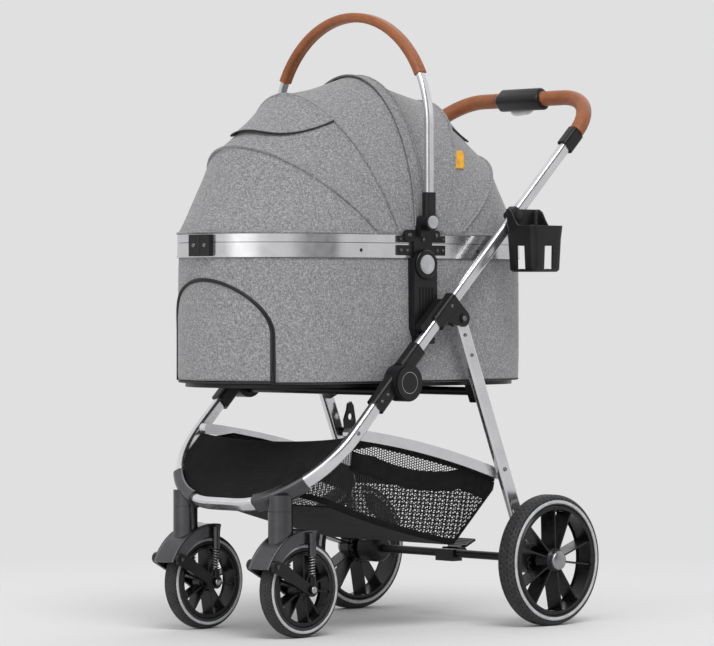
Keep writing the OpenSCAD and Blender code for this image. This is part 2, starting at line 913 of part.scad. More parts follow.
// bag through stations of [place, top, bottom, half width at the top, half width at the bottom]
module loft(stations) {
  n = len(stations);
  points = [for (q = stations) each [[-q[3], q[0], q[1]], [q[3], q[0], q[1]],
    [q[4], q[0], q[2]], [-q[4], q[0], q[2]]]];
  walls = [for (i = [0:n - 2]) for (j = [0:3]) let (a = 4 * i + j, b = 4 * i + (j + 1) % 4)
    each [[a, a + 4, b + 4], [a, b + 4, b]]];
  polyhedron(points, concat([[0, 1, 2, 3]], walls, [[for (j = [3:-1:0]) 4 * (n - 1) + j]]), convexity = 8);
}

// mesh bag hung between the two bars and the front loop, open at the top
module basket() {
  half = bar_x - bar_t / 2 - slack;
  corner_y = bar_front_y + 8;
  long = bag_rear_low_y - corner_y;
  places = [bag_front_y, bar_front_y - 40, bar_front_y, corner_y, corner_y + 0.2 * long,
    corner_y + 0.45 * long, corner_y + 0.7 * long, corner_y + 0.9 * long, bag_rear_low_y, bag_rear_y];
  in = fabric_t;
  color(black_cloth)
    difference() {
      loft([for (y = places) [y, bag_top(y), bag_low(y), y < bar_front_y - 60 ? half - 45 : half,
        y < bar_front_y - 60 ? half - 50 : half - bag_taper * (bar_z(y) - bag_low(y)) / basket_depth]]);
      loft([for (y = places)
        let (yy = y == bag_front_y ? y + 2 * in + 3 : y == bag_rear_y ? y - in : y,
          wide = y < bar_front_y - 60 ? half - 45 : half)
        [yy, y < corner_y ? bag_top(yy) - 2 * in : bar_z(yy) + 40, bag_low(yy) + in,
          wide - in, (y < bar_front_y - 60 ? half - 50 : half - bag_taper
          * (bar_z(y) - bag_low(y)) / basket_depth) - in]]);
    }
}

// ---- casters ----

module at_caster() {
  translate([caster_x, caster_y, 0])
    children();
}

// wheel centre seen from the side
module at_front_wheel() {
  translate([0, trail, front_wheel_r])
    children();
}

module caster_fork() {
  inner_r = fender_r - fender_wall;
  color(plastic)
    at_caster() {
      difference() {
        union() {
          translate([0, 0, front_wheel_r + 60])
            cylinder(h = seam_z - front_wheel_r - 60, d = barrel_d);
          translate([0, 0, seam_z - 4])
            cylinder(h = 16, d = spindle_d);
          at_front_wheel()
            rotate([90, 0, 90])
              rotate([0, 0, 80])
                rotate_extrude(angle = 78)
                  fender_section();
          for (side = [-1, 1])
            at_front_wheel()
              translate([side * arm_x, 2, spring_high])
                cylinder(h = strut_top - spring_high, r = 7.5);
        }
        at_front_wheel()
          x_bar(0, 0, -fender_half_w + fender_wall, fender_half_w - fender_wall, inner_r);
      }
      both_sides()
        at_front_wheel()
          x_bar(arm_pivot_r * cos(arm_pivot_angle), arm_pivot_r * sin(arm_pivot_angle),
            fender_half_w - 1, arm_x + arm_t / 2 + 2, 4);
    }
}

// block that the wheel room is cut from, with a bead along each outer edge
module fender_section() {
  skirt_low = front_wheel_r - 4;
  translate([skirt_low, -fender_half_w])
    square([fender_r - 1 - skirt_low, 2 * fender_half_w]);
  for (side = [-1, 1])
    translate([fender_r - 3.6, side * (fender_half_w - 3.2)])
      circle(3.6);
}

module arm_outline() {
  px = arm_pivot_r * cos(arm_pivot_angle);
  py = arm_pivot_r * sin(arm_pivot_angle);
  circle(13);
  translate([px, py])
    circle(11);
  polygon([[px - 6, py - 9.2], [-9, -9], [-2, 10], [-16, 17], [px + 30, py - 2], [px + 3, py + 10.6]]);
}

// trailing arms with the axle, the spring seats and the piston rods
module suspension_arm() {
  color(plastic)
    at_caster()
      at_front_wheel() {
        both_sides()
          difference() {
            side_plate(arm_x - arm_t / 2, arm_x + arm_t / 2)
              arm_outline();
            x_bar(arm_pivot_r * cos(arm_pivot_angle), arm_pivot_r * sin(arm_pivot_angle),
              arm_x - arm_t, arm_x + arm_t, 4 + run_fit);
          }
        both_sides()
          translate([arm_x, 2, 0]) {
            cylinder(h = spring_low - 0.1, r = 7);
            cylinder(h = spring_high - 6.5, r = 3);
          }
        x_bar(0, 0, -arm_x - arm_t / 2 - 5, arm_x + arm_t / 2 + 5, axle_r);
        both_sides()
          x_bar(0, 0, arm_x + arm_t / 2, arm_x + arm_t / 2 + 5, 8);
      }
}

// one helical spring as a swept wire
module coil(r, height, turns) {
  sides = 6;
  per_turn = 12;
  rings = per_turn * turns;
  rise = height - wire_d;
  wire = wire_d / 2;
  points = [for (k = [0:rings]) let (a = 360 * k / per_turn, z = wire + rise * k / rings)
    for (j = [0:sides - 1]) let (b = 360 * j / sides, q = r + wire * cos(b))
      [q * cos(a), q * sin(a), z + wire * sin(b)]];
  walls = [for (k = [0:rings - 1]) for (j = [0:sides - 1]) let (n = (j + 1) % sides)
    [k * sides + j, k * sides + n, (k + 1) * sides + n, (k + 1) * sides + j]];
  first = [[for (j = [sides - 1:-1:0]) j]];
  last = [[for (j = [0:sides - 1]) rings * sides + j]];
  polyhedron(points, concat(walls, first, last), convexity = 10);
}

module springs() {
  color(silver)
    at_caster()
      at_front_wheel()
        for (side = [-1, 1])
          translate([side * arm_x, 2, spring_low])
            coil(5, spring_high - spring_low, spring_turns);
}

// ---- wheels: axis along X, centred on the origin ----

module tyre(r, w) {
  rotate([0, 90, 0])
    rotate_extrude($fn = 96)
      difference() {
        translate([r - 14, 0])
          rounded(28, w, 11);
        translate([r - 29, -w / 2 - 1])
          square([10, w + 2]);
      }
}

// rim: channel under the tyre, deep blades in pairs, hub with its cap
module rim(r, w, bore_r, cap_out) {
  seat = r - 19;
  hub_len = w - 4;
  difference() {
    rotate([0, 90, 0])
      rotate_extrude($fn = 96)
        polygon([[seat, -w / 2 + 2], [seat, w / 2 - 2], [seat - 3, w / 2 + 1], [seat - 9, w / 2 + 1],
          [seat - 7, w / 2 - 4], [seat - 5, -w / 2 + 4], [seat - 8, -w / 2 - 1], [seat - 3, -w / 2 - 1]]);
    x_bar(0, 0, -w, w, 1);
  }
  for (i = [0:blade_pairs - 1])
    for (lean = [-1, 1])
      rotate([i * 360 / blade_pairs + lean * blade_angle / 2 - 12, 0, 0])
        rotate([90, 0, 90])
          translate([0, 0, -hub_len / 2])
            linear_extrude(hub_len)
              translate([-blade_t / 2, r * 0.13])
                square([blade_t, seat - 6.5 - r * 0.13]);
  difference() {
    rotate([0, 90, 0])
      rotate_extrude()
        polygon([[0, -w / 2 + 1], [r * 0.17, -w / 2 + 1], [r * 0.21, -w / 4], [r * 0.19, w / 2 - 3],
          [r * 0.16, w / 2 + cap_out - 4], [r * 0.12, w / 2 + cap_out - 1], [0, w / 2 + cap_out]]);
    x_bar(0, 0, -w, cap_out > 0 ? w / 2 - 6 : w, bore_r + run_fit);
  }
}

module front_wheel_tyre() {
  color(rubber)
    at_caster()
      at_front_wheel()
        tyre(front_wheel_r, front_tyre_w);
}

module front_wheel_rim() {
  color(plastic)
    at_caster()
      at_front_wheel()
        rim(front_wheel_r, front_tyre_w, axle_r, 0);
}

module at_rear_wheel() {
  translate([rear_half_track, rear_axle_y, rear_wheel_r])
    children();
}

module rear_wheel_tyre() {
  color(rubber)
    at_rear_wheel()
      tyre(rear_wheel_r, rear_tyre_w);
}

module rear_wheel_rim() {
  color(plastic)
    at_rear_wheel()
      rim(rear_wheel_r, rear_tyre_w, 6, 6);
}

// ---- carrier ----

module base_pan() {
  color(plastic)
    at_carrier(base_z)
      difference() {
        linear_extrude(base_t)
          stadium(tub_half_w - base_inset, tub_half_l - base_inset);
        // shallow stiffening channels in the underside
        for (i = [-2:2])
          translate([-tub_half_w + 60, i * 90 - 4, -1])
            cube([2 * tub_half_w - 120, 8, 3]);
      }
}

// arch of the door, seen from the front
module arch_outline(gap) {
  half = door_half_w - gap;
  steps = 16;
  polygon(concat([[half, gap], [half, door_side_h]],
    [for (i = [1:steps - 1]) let (a = 180 * i / steps)
      [half * cos(a), door_side_h + (door_rise - gap) * sin(a)]],
    [[-half, door_side_h], [-half, gap]]));
}

module door_block(gap) {
  translate([0, -tub_half_w / 2, door_z])
    rotate([90, 0, 0])
      linear_extrude(tub_half_l)
        arch_outline(gap);
}

module tub() {
  color(grey_cloth)
    at_carrier(0)
      difference() {
        translate([0, 0, tub_z])
          linear_extrude(lower_rail_z - tub_z)
            stadium(tub_half_w, tub_half_l);
        translate([0, 0, floor_z])
          linear_extrude(lower_rail_z)
            stadium(tub_half_w - tub_wall, tub_half_l - tub_wall);
        door_block(0);
      }
}

module front_door() {
  color(grey_cloth)
    at_carrier(0)
      intersection() {
        translate([0, 0, tub_z])
          linear_extrude(lower_rail_z - tub_z)
            stadium_band(tub_half_w, tub_wall);
        door_block(door_gap);
      }
}

module mat() {
  gap = 4;
  color(black_cloth)
    at_carrier(floor_z)
      linear_extrude(mat_t)
        stadium(tub_half_w - tub_wall - gap, tub_half_l - tub_wall - gap);
}

module lower_rail() {
  color(silver)
    at_carrier(lower_rail_z)
      difference() {
        union() {
          linear_extrude(lower_rail_h)
            stadium_band(rail_half_w, rail_t);
          linear_extrude(4)
            stadium_band(rail_half_w + 1, rail_t);
        }
        for (end = [-1, 1])
          translate([-rail_half_w - 5, end * tub_straight * 0.8, lower_rail_h / 2])
            rotate([0, 90, 0])
              cylinder(h = 2 * rail_half_w + 10, r = 3.5);
      }
}

module upper_rail() {
  color(silver)
    at_carrier(upper_rail_z)
      linear_extrude(upper_rail_h)
        stadium_band(rail_half_w, rail_t);
}

// black joints on the rails: one on each side and a hinge block at each end
module rail_joints() {
  face = rail_half_w + 1;
  color(plastic) {
    difference() {
      union() {
        both_sides()
          side_joint(face);
        for (end = [-1, 1])
          at_carrier(0)
            translate([0, end * (tub_half_l + 3), 0])
              mirror([0, end < 0 ? 1 : 0, 0])
                hinge_block();
      }
      // seated on the outer faces of both rails
      at_carrier(lower_rail_z)
        linear_extrude(4)
          stadium(face, face + tub_straight);
      at_carrier(lower_rail_z)
        linear_extrude(rail_top - lower_rail_z)
          stadium(rail_half_w, rail_half_w + tub_straight);
    }
    both_sides()
      at_carrier(0)
        canopy_post();
  }
}

// plates over both rails, with the post that carries the carry handle
module side_joint(face) {
  arm_l = 62;
  at_carrier(0) {
    translate([face - 1, -arm_l, lower_rail_z + 5])
      cube([4, 2 * arm_l, lower_rail_h - 8]);
    translate([face - 1, -arm_l, upper_rail_z + 1])
      cube([4, 2 * arm_l, upper_rail_h - 2]);
    side_plate(face - 1, face + 6)
      difference() {
        polygon([[-24, lower_rail_z + 2], [24, lower_rail_z + 2], [24, upper_rail_z + 2],
          [16, rail_top + 3], [-16, rail_top + 3], [-24, upper_rail_z + 2]]);
        translate([0, lower_rail_z - 12])
          circle(d = adapter_button_d + 21);
      }
    side_plate(rail_half_w, carry_half_w - carry_tube_w / 2 - 2.3)
      union() {
        translate([0, carry_pivot_z])
          circle(13);
        polygon([[-13, rail_top - 4], [13, rail_top - 4], [13, carry_pivot_z], [-13, carry_pivot_z]]);
      }
    x_bar(0, carry_pivot_z, rail_half_w + 2, carry_half_w + carry_tube_w / 2, axle_r);
  }
}

// posts on the upper rail: the middle one holds its bow, the others a folding pair on a pin
module canopy_post() {
  inner = rail_half_w - rail_t;
  for (run = [-fold_pin_run, 0, fold_pin_run])
    let (head = bow_layer(run == 0 ? 1 : 0) - slack)
      translate([0, run, 0]) {
        side_plate(inner, tub_half_w - 1)
          union() {
            translate([0, bow_z])
              circle(7);
            polygon([[-12, rail_top], [12, rail_top], [7, bow_z], [-7, bow_z]]);
          }
        x_bar(0, bow_z, head, inner + 1, bow_pin_r);
        x_bar(0, bow_z, head - 1.5, head, 5);
      }
}

module hinge_block() {
  for (side = [-1, 1])
    translate([side * 14.5 - 14, -5, lower_rail_z + 2])
      cube([28, 13, rail_top - lower_rail_z - 3]);
  translate([0, 6, lower_rail_z + 4])
    cylinder(h = rail_top - lower_rail_z - 7, r = 4);
}

// plates down each side that lock the carrier to the frame
module adapters() {
  inner = rail_half_w + 1;
  shoulder = adapter_low + 18;
  color(plastic)
    both_sides()
      at_carrier(0)
        difference() {
          union() {
            side_plate(tub_half_w + slack, adapter_out - 0.8)
              polygon([[-adapter_half_w + 8, adapter_low], [adapter_half_w - 8, adapter_low],
                [adapter_half_w, shoulder], [adapter_half_w, lower_rail_z - 0.2],
                [-adapter_half_w, lower_rail_z - 0.2], [-adapter_half_w, shoulder]]);
            x_bar(0, adapter_button_z, inner + 1, adapter_out + 1.2, adapter_button_d / 2 + 10);
          }
          x_bar(0, adapter_button_z, adapter_out - 5, adapter_out + 5, adapter_button_d / 2 + 0.3);
          // ribbed grip of the lower slide
          for (i = [-2:2])
            translate([adapter_out - 2.2, i * 8 - 1.5, shoulder + 14])
              cube([3, 3, 62]);
          translate([adapter_out - 2, -adapter_half_w - 1, shoulder + 88])
            cube([3, 2 * adapter_half_w + 2, 2]);
          // clear of the lower rail
          translate([0, 0, lower_rail_z - 0.2])
            linear_extrude(lower_rail_h)
              stadium(rail_half_w + 5, tub_half_l);
        }
}

module adapter_button() {
  color(silver)
    at_carrier(0) {
      x_bar(0, adapter_button_z, adapter_out - 1, adapter_out + 4.5, adapter_button_d / 2);
      x_bar(0, adapter_button_z, adapter_out + 4.4, adapter_out + 5.5, adapter_button_d / 2 - 3);
    }
}

// ---- carry handle ----

module carry_section() {
  tube_section(carry_tube_w, carry_tube_h, tube_wall, 4.5);
}

module carry_leather_section() {
  difference() {
    rounded(carry_tube_w + 2 * carry_leather, carry_tube_h + 2 * carry_leather, 7);
    rounded(carry_tube_w, carry_tube_h, 4.5);
  }
}

module at_carry() {
  at_carrier(carry_pivot_z)
    rotate([90, 0, 0])
      children();
}

// the loop lies in the upright plane across the stroller
module carry_tube() {
  color(silver)
    at_carry() {
      translate([0, carry_side_l, 0])
        rotate_extrude(angle = 180, $fn = 96)
          translate([carry_half_w, 0])
            carry_section();
      both_sides()
        translate([carry_half_w, carry_side_l, 0])
          rotate([90, 0, 0])
            linear_extrude(carry_side_l - 16)
              carry_section();
    }
}

module carry_grip() {
  color(leather)
    at_carry()
      translate([0, carry_side_l, 0])
        rotate([0, 0, carry_grip_start])
          rotate_extrude(angle = 180 - 2 * carry_grip_start, $fn = 96)
            translate([carry_half_w, 0])
              carry_leather_section();
}

module carry_pivots() {
  wide = carry_tube_w + 7;
  deep = carry_tube_h + 8;
  color(plastic)
    both_sides()
      difference() {
        union() {
          at_carry()
            translate([carry_half_w, 56, 0])
              rotate([90, 0, 0])
                linear_extrude(58)
                  rounded(carry_tube_w + 4, deep, 5);
          at_carrier(0)
            x_bar(0, carry_pivot_z, carry_half_w - carry_tube_w / 2 - 2, carry_half_w + wide / 2, 16);
        }
        at_carry()
          translate([carry_half_w, 57, 0])
            rotate([90, 0, 0])
              linear_extrude(41)
                rounded(carry_tube_w, carry_tube_h, 4.5);
        at_carrier(0) {
          x_bar(0, carry_pivot_z, carry_half_w - wide, carry_half_w + carry_tube_w / 2 + 0.2,
            axle_r + run_fit);
          x_bar(0, carry_pivot_z, carry_half_w + wide / 2 - 3.5, carry_half_w + wide, 12.3);
        }
      }
}

module carry_button() {
  out = carry_half_w + (carry_tube_w + 7) / 2;
  color(silver)
    at_carrier(0)
      x_bar(0, carry_pivot_z, out - 0.4, out + 3.4, 12);
}

// ---- canopy ----

function bow_length(i) = i == 0 ? outer_bow_l : i == 1 ? second_bow_l : middle_bow_l;
function bow_slope(i) = i == 0 ? outer_bow_slope : i == 1 ? second_bow_slope : 90;
function bow_run(i) = i == 0 ? outer_foot_run : i == 1 ? second_foot_run : 0;
// the outer bow turns inside the next one on their pin
function bow_layer(i) = rail_half_w - rail_t - (i == 0 ? 2 : 1) * (slack + bow_end_t);

// half an ellipse between the two side pivots, open below
module bow_outline(length) {
  steps = 24;
  half = tub_half_w - 1;
  polygon(concat(
    [for (i = [0:steps]) let (a = 180 * i / steps) [half * cos(a), length * sin(a)]],
    [for (i = [steps:-1:0]) let (a = 180 * i / steps)
      [(half - bow_w) * cos(a), (length - bow_w) * sin(a)]]));
}

// a bow leaning to the front by its slope, with a flat crank from each foot to its pin
module bow(i) {
  from = 34;
  layer = bow_layer(i);
  pin = i == 2 ? 0 : fold_pin_run;
  crank_y = bow_run(i) - pin + (from + 4) * cos(bow_slope(i));
  crank_z = (from + 4) * sin(bow_slope(i));
  crank = norm([crank_y, crank_z]);
  color(plastic)
    at_carrier(bow_z) {
      translate([0, -bow_run(i), 0])
        rotate([180 - bow_slope(i), 0, 0]) {
          difference() {
            translate([0, 0, -bow_w / 2])
              linear_extrude(bow_w)
                bow_outline(bow_length(i));
            translate([-tub_half_w, -1, -bow_w])
              cube([2 * tub_half_w, from + 1, 2 * bow_w]);
          }
          both_sides()
            translate([layer, from, -bow_w / 2])
              cube([tub_half_w - 1 - bow_w / 2 - layer, 9, bow_w]);
        }
      both_sides()
        translate([0, -pin, 0])
          rotate([180 - atan2(crank_z, crank_y), 0, 0])
            difference() {
              union() {
                translate([layer, 0, -bow_w / 2])
                  cube([bow_end_t, crank, bow_w]);
                x_bar(crank, 0, layer, layer + bow_end_t, bow_w / 2);
                x_bar(0, 0, layer, layer + bow_end_t, 6);
              }
              x_bar(0, 0, layer - 1, layer + bow_end_t + 1, bow_pin_r + run_fit);
            }
    }
}

// face of the canopy at a bow: a = 0 at one side, 180 at the other
function bow_point(i, a, out) = [
  (tub_half_w - 1 + out) * cos(a),
  -bow_run(i) - (bow_length(i) + out) * sin(a) * cos(bow_slope(i)),
  (bow_length(i) + out) * sin(a) * sin(bow_slope(i))];

// the cloth is stretched straight from bow to bow and dips a little between them
function gore_point(i, v, a, out) =
  let (m = bow_point(i, a, out) * (1 - v) + bow_point(i + 1, a, out) * v)
  m - m / norm(m) * gore_dip * 4 * v * (1 - v) * sin(a);

// point on the carrier's outline, from an outer foot round to the front
function rim_point(a, out) =
  let (whole = tub_straight + tub_half_w * PI / 2,
    run = outer_foot_run + (a > 90 ? 180 - a : a) / 90 * (whole - outer_foot_run),
    turn = max(0, run - tub_straight) / tub_half_w * 180 / PI,
    x = (tub_half_w - 1 + out) * cos(turn))
  [a > 90 ? -x : x, -min(run, tub_straight) - (tub_half_w - 1 + out) * sin(turn), slack - bow_pivot_up];

// the zipped panel ends just short of the outer bow
function panel_point(v, a, out) =
  let (low = rim_point(a, out), high = bow_point(0, a, out), w = v * (1 - 1.5 / norm(high - low)))
  low * (1 - w) + high * w;

// thin sheet between an outer and an inner grid of the same size
module sheet(outer, inner, rows, cols) {
  n = rows * cols;
  top = [for (r = [0:rows - 2]) for (c = [0:cols - 2]) let (k = r * cols + c)
    [k, k + 1, k + cols + 1, k + cols]];
  bottom = [for (f = top) [for (j = [3:-1:0]) f[j] + n]];
  edge = concat([for (c = [0:cols - 1]) c], [for (r = [1:rows - 1]) r * cols + cols - 1],
    [for (c = [cols - 2:-1:0]) (rows - 1) * cols + c], [for (r = [rows - 2:-1:1]) r * cols]);
  m = len(edge);
  rim = [for (j = [0:m - 1]) let (p = edge[j], q = edge[(j + 1) % m]) [q, p, p + n, q + n]];
  polyhedron(concat(outer, inner), concat(top, bottom, rim), convexity = 10);
}

// the first and the last column of the cloth hang straight down to the rail
function gore_grid(out, rows, cols) = [for (r = [0:rows - 1]) for (c = [0:cols - 1])
  let (i = r < (rows - 1) / 2 ? 0 : 1, v = 2 * r / (rows - 1) - i,
    p = gore_point(i, v, max(0, min(180, 180 * (c - 1) / (cols - 3))), out))
  c == 0 || c == cols - 1 ? [p[0], p[1], slack - bow_pivot_up] : p];

module gores() {
  at_carrier(bow_z)
    sheet(gore_grid(cloth_gap + canopy_t, 7, 27), gore_grid(cloth_gap, 7, 27), 7, 27);
}

function panel_grid(out, rows, cols) = [for (r = [0:rows - 1]) for (c = [0:cols - 1])
  panel_point(r / (rows - 1), max(2.5, min(177.5, 180 * c / (cols - 1))), out)];

module canopy_panel() {
  at_carrier(bow_z)
    sheet(panel_grid(cloth_gap + canopy_t, 3, 25), panel_grid(cloth_gap, 3, 25), 3, 25);
}

// turns a front piece into its twin at the rear
module to_rear() {
  translate([0, 2 * carrier_y, 0])
    mirror([0, 1, 0])
      children();
}

module to_right() {
  mirror([1, 0, 0])
    children();
}

front_tube();
front_sleeves();
caster_brackets();
front_cross_tube();
front_panel();
handle_tube();
hub_shells();
leg_collars();
carrier_receivers();
handle_collars();
handle_grip();
handle_housing();
cup_holder();
release_lever();
rear_legs();
rear_cross_tube();
rear_axle();
axle_housings();
brake_pedal();
fold_latch();
basket_bars();
basket();
caster_fork();  // caster_fork_left
to_right() caster_fork();  // caster_fork_right
suspension_arm();  // suspension_arm_left
to_right() suspension_arm();  // suspension_arm_right
springs();  // springs_left
to_right() springs();  // springs_right
front_wheel_tyre();  // tyre_front_left
to_right() front_wheel_tyre();  // tyre_front_right
rear_wheel_tyre();  // tyre_rear_left
to_right() rear_wheel_tyre();  // tyre_rear_right
front_wheel_rim();  // rim_front_left
to_right() front_wheel_rim();  // rim_front_right
rear_wheel_rim();  // rim_rear_left
to_right() rear_wheel_rim();  // rim_rear_right
base_pan();
tub();
mat();
lower_rail();
upper_rail();
rail_joints();
adapters();
adapter_button();  // adapter_button_left
to_right() adapter_button();  // adapter_button_right
front_door();
carry_tube();
carry_grip();
carry_pivots();
carry_button();  // carry_button_left
to_right() carry_button();  // carry_button_right
bow(2);  // middle_bow
bow(1);  // front_second_bow
to_rear() bow(1);  // rear_second_bow
bow(0);  // front_outer_bow
to_rear() bow(0);  // rear_outer_bow
color(grey_cloth) gores();  // front_gores
color(grey_cloth) to_rear() gores();  // rear_gores
color(grey_cloth) canopy_panel();  // front_canopy_panel
color(grey_cloth) to_rear() canopy_panel();  // rear_canopy_panel
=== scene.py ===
import bpy, bmesh
from math import asin, cos, degrees, exp, floor, pi, radians, sin, sqrt
from mathutils import Vector, Matrix
from mathutils.kdtree import KDTree


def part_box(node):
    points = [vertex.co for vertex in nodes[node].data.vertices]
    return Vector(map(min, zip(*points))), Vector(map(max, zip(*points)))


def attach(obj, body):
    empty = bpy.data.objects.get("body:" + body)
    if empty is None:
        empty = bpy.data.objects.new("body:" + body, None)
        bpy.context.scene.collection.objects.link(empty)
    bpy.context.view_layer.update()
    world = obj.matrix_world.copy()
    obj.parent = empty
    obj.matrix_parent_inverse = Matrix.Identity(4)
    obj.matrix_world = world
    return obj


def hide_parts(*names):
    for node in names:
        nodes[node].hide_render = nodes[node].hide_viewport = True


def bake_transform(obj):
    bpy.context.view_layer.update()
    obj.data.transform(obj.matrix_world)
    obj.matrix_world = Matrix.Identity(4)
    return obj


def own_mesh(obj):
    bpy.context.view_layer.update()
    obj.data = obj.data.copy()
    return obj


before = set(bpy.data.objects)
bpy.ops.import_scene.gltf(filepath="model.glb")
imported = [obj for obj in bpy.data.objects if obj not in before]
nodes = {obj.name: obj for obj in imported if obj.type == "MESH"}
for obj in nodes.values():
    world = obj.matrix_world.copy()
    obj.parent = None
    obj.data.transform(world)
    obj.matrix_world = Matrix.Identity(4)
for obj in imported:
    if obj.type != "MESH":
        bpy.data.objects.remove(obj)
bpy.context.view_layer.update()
scene = bpy.context.scene
sides = ((1, "left"), (-1, "right"))
print("stroller frame loaded")


def addObject(name, data):
    thing = bpy.data.objects.new(name, data)
    scene.collection.objects.link(thing)
    return thing


def srgb(r, g, b):
    def toLinear(v):
        v = v / 255
        return v / 12.92 if v <= 0.04045 else ((v + 0.055) / 1.055) ** 2.4
    return (toLinear(r), toLinear(g), toLinear(b), 1)


def grey(tone, warm=0):
    return srgb(tone, tone, tone + warm)


def newMaterial(name, colour, rough=0.5, metal=0.0):
    mat = bpy.data.materials.new(name)
    mat.use_nodes = True
    tree = mat.node_tree
    shader = tree.nodes["Principled BSDF"]
    shader.inputs["Base Color"].default_value = colour
    shader.inputs["Roughness"].default_value = rough
    shader.inputs["Metallic"].default_value = metal
    mat.diffuse_color = colour
    return mat, tree, shader


def addNode(tree, kind, settings=None, links=None):
    node = tree.nodes.new("ShaderNode" + kind)
    for key, value in (settings or {}).items():
        if hasattr(node, key):
            setattr(node, key, value)
        else:
            node.inputs[key].default_value = value
    for key, value in (links or {}).items():
        tree.links.new(value, node.inputs[key])
    return node


def objectPoint(tree, scale=(1, 1, 1), centre=(0, 0, 0)):
    coords = addNode(tree, "TexCoord")
    place = addNode(tree, "Mapping", {}, {"Vector": coords.outputs["Object"]})
    place.inputs["Location"].default_value = [-c * s for c, s in zip(centre, scale)]
    place.inputs["Scale"].default_value = scale
    return place.outputs["Vector"]


def clothPoint(tree, scale=(1, 1, 1)):
    coords = addNode(tree, "UVMap", {"uv_map": "weave"})
    place = addNode(tree, "Mapping", {}, {"Vector": coords.outputs["UV"]})
    place.inputs["Scale"].default_value = scale
    return place.outputs["Vector"]


def noise(tree, point, scale, detail=2.0, rough=0.5):
    node = addNode(tree, "TexNoise", {"Scale": scale, "Detail": detail, "Roughness": rough},
                   {"Vector": point})
    return node.outputs["Fac"]


def ramp(tree, value, *stops):
    node = addNode(tree, "ValToRGB", {}, {"Fac": value})
    bar = node.color_ramp
    while len(bar.elements) < len(stops):
        bar.elements.new(0.5)
    for element, (place, colour) in zip(bar.elements, stops):
        element.position = place
        element.color = colour if hasattr(colour, "__len__") else (colour, colour, colour, 1)
    return node.outputs["Color"]


def maths(tree, kind, a, b=None, c=None):
    node = addNode(tree, "Math", {"operation": kind})
    for place, value in enumerate((a, b, c)):
        if value is None:
            continue
        if isinstance(value, (int, float)):
            node.inputs[place].default_value = value
        else:
            tree.links.new(value, node.inputs[place])
    return node.outputs[0]


def blendColour(tree, amount, first, second, mode="MIX"):
    node = addNode(tree, "Mix", {"data_type": "RGBA", "blend_type": mode})
    for place, value in ((0, amount), (6, first), (7, second)):
        if isinstance(value, (int, float, tuple)):
            node.inputs[place].default_value = value
        else:
            tree.links.new(value, node.inputs[place])
    return node.outputs[2]


def feed(tree, shader, value, socket="Base Color"):
    tree.links.new(value, shader.inputs[socket])


def addBump(tree, shader, height, strength=0.4, distance=0.0005, under=None):
    node = addNode(tree, "Bump", {"Strength": strength, "Distance": distance}, {"Height": height})
    if under is not None:
        tree.links.new(under, node.inputs["Normal"])
    tree.links.new(node.outputs["Normal"], shader.inputs["Normal"])
    return node.outputs["Normal"]


def splitPoint(tree, point):
    return addNode(tree, "SeparateXYZ", {}, {"Vector": point}).outputs


def planeLength(tree, a, b):
    squares = [maths(tree, "POWER", maths(tree, "ABSOLUTE", part), 2.0) for part in (a, b)]
    return maths(tree, "SQRT", maths(tree, "ADD", *squares))


def cellPlace(tree, value, pitch, shift):
    # place within a cell of a repeat, from -0.5 to 0.5
    cell = maths(tree, "FRACT", maths(tree, "MULTIPLY_ADD", value, 1 / pitch, shift))
    return maths(tree, "SUBTRACT", cell, 0.5)


def holeDistance(tree, u, v, pitch):
    # distance to the nearest centre of a staggered lattice, 0 in a hole's middle
    stretch = 1.732
    steps = []
    for shift in (0.0, 0.5):
        across = cellPlace(tree, u, pitch, shift)
        along = cellPlace(tree, v, pitch * stretch, shift)
        steps.append(planeLength(tree, across, maths(tree, "MULTIPLY", along, stretch)))
    return maths(tree, "MINIMUM", steps[0], steps[1])


def heatherCloth(name, light=172, dark=106):
    mat, tree, shader = newMaterial(name, srgb(140, 141, 143), 0.9)
    point = objectPoint(tree)
    flecks = noise(tree, point, 330, 3.0, 0.65)
    slubs = noise(tree, objectPoint(tree, (140, 140, 420)), 1, 2.0, 0.6)
    cross = noise(tree, objectPoint(tree, (420, 420, 140)), 1, 2.0, 0.6)
    threads = maths(tree, "MULTIPLY_ADD", slubs, 0.26, maths(tree, "MULTIPLY", cross, 0.24))
    yarn = maths(tree, "ADD", maths(tree, "MULTIPLY", flecks, 0.5), threads)
    colour = ramp(tree, yarn, (0.40, grey(dark, 3)), (0.5, grey(136, 2)), (0.62, grey(light, 1)))
    feed(tree, shader, colour)
    weave = noise(tree, point, 1300, 1.0, 0.5)
    first = addBump(tree, shader, weave, 0.35, 0.0004)
    addBump(tree, shader, yarn, 0.3, 0.0006, first)
    shader.inputs["Sheen Weight"].default_value = 0.2
    shader.inputs["Sheen Roughness"].default_value = 0.6
    shader.inputs["Specular IOR Level"].default_value = 0.2
    return mat


def blackCanvas(name, tone=14):
    mat, tree, shader = newMaterial(name, grey(tone, 2), 0.82)
    point = objectPoint(tree)
    wear = noise(tree, point, 45, 3.0, 0.6)
    colour = ramp(tree, wear, (0.3, grey(tone - 6, 1)), (0.7, grey(tone + 7, 1)))
    feed(tree, shader, colour)
    addBump(tree, shader, noise(tree, point, 1100, 1.0, 0.5), 0.4, 0.0005)
    shader.inputs["Sheen Weight"].default_value = 0.04
    shader.inputs["Specular IOR Level"].default_value = 0.14
    return mat


def meshNet(name, pitch=0.0056, hole=0.33):
    mat, tree, shader = newMaterial(name, grey(20, 2), 0.7)
    parts = splitPoint(tree, clothPoint(tree))
    gap = holeDistance(tree, parts[0], parts[1], pitch)
    solid = maths(tree, "GREATER_THAN", gap, hole)
    feed(tree, shader, solid, "Alpha")
    addBump(tree, shader, gap, 0.5, 0.0008)
    mat.surface_render_method = "DITHERED"
    return mat


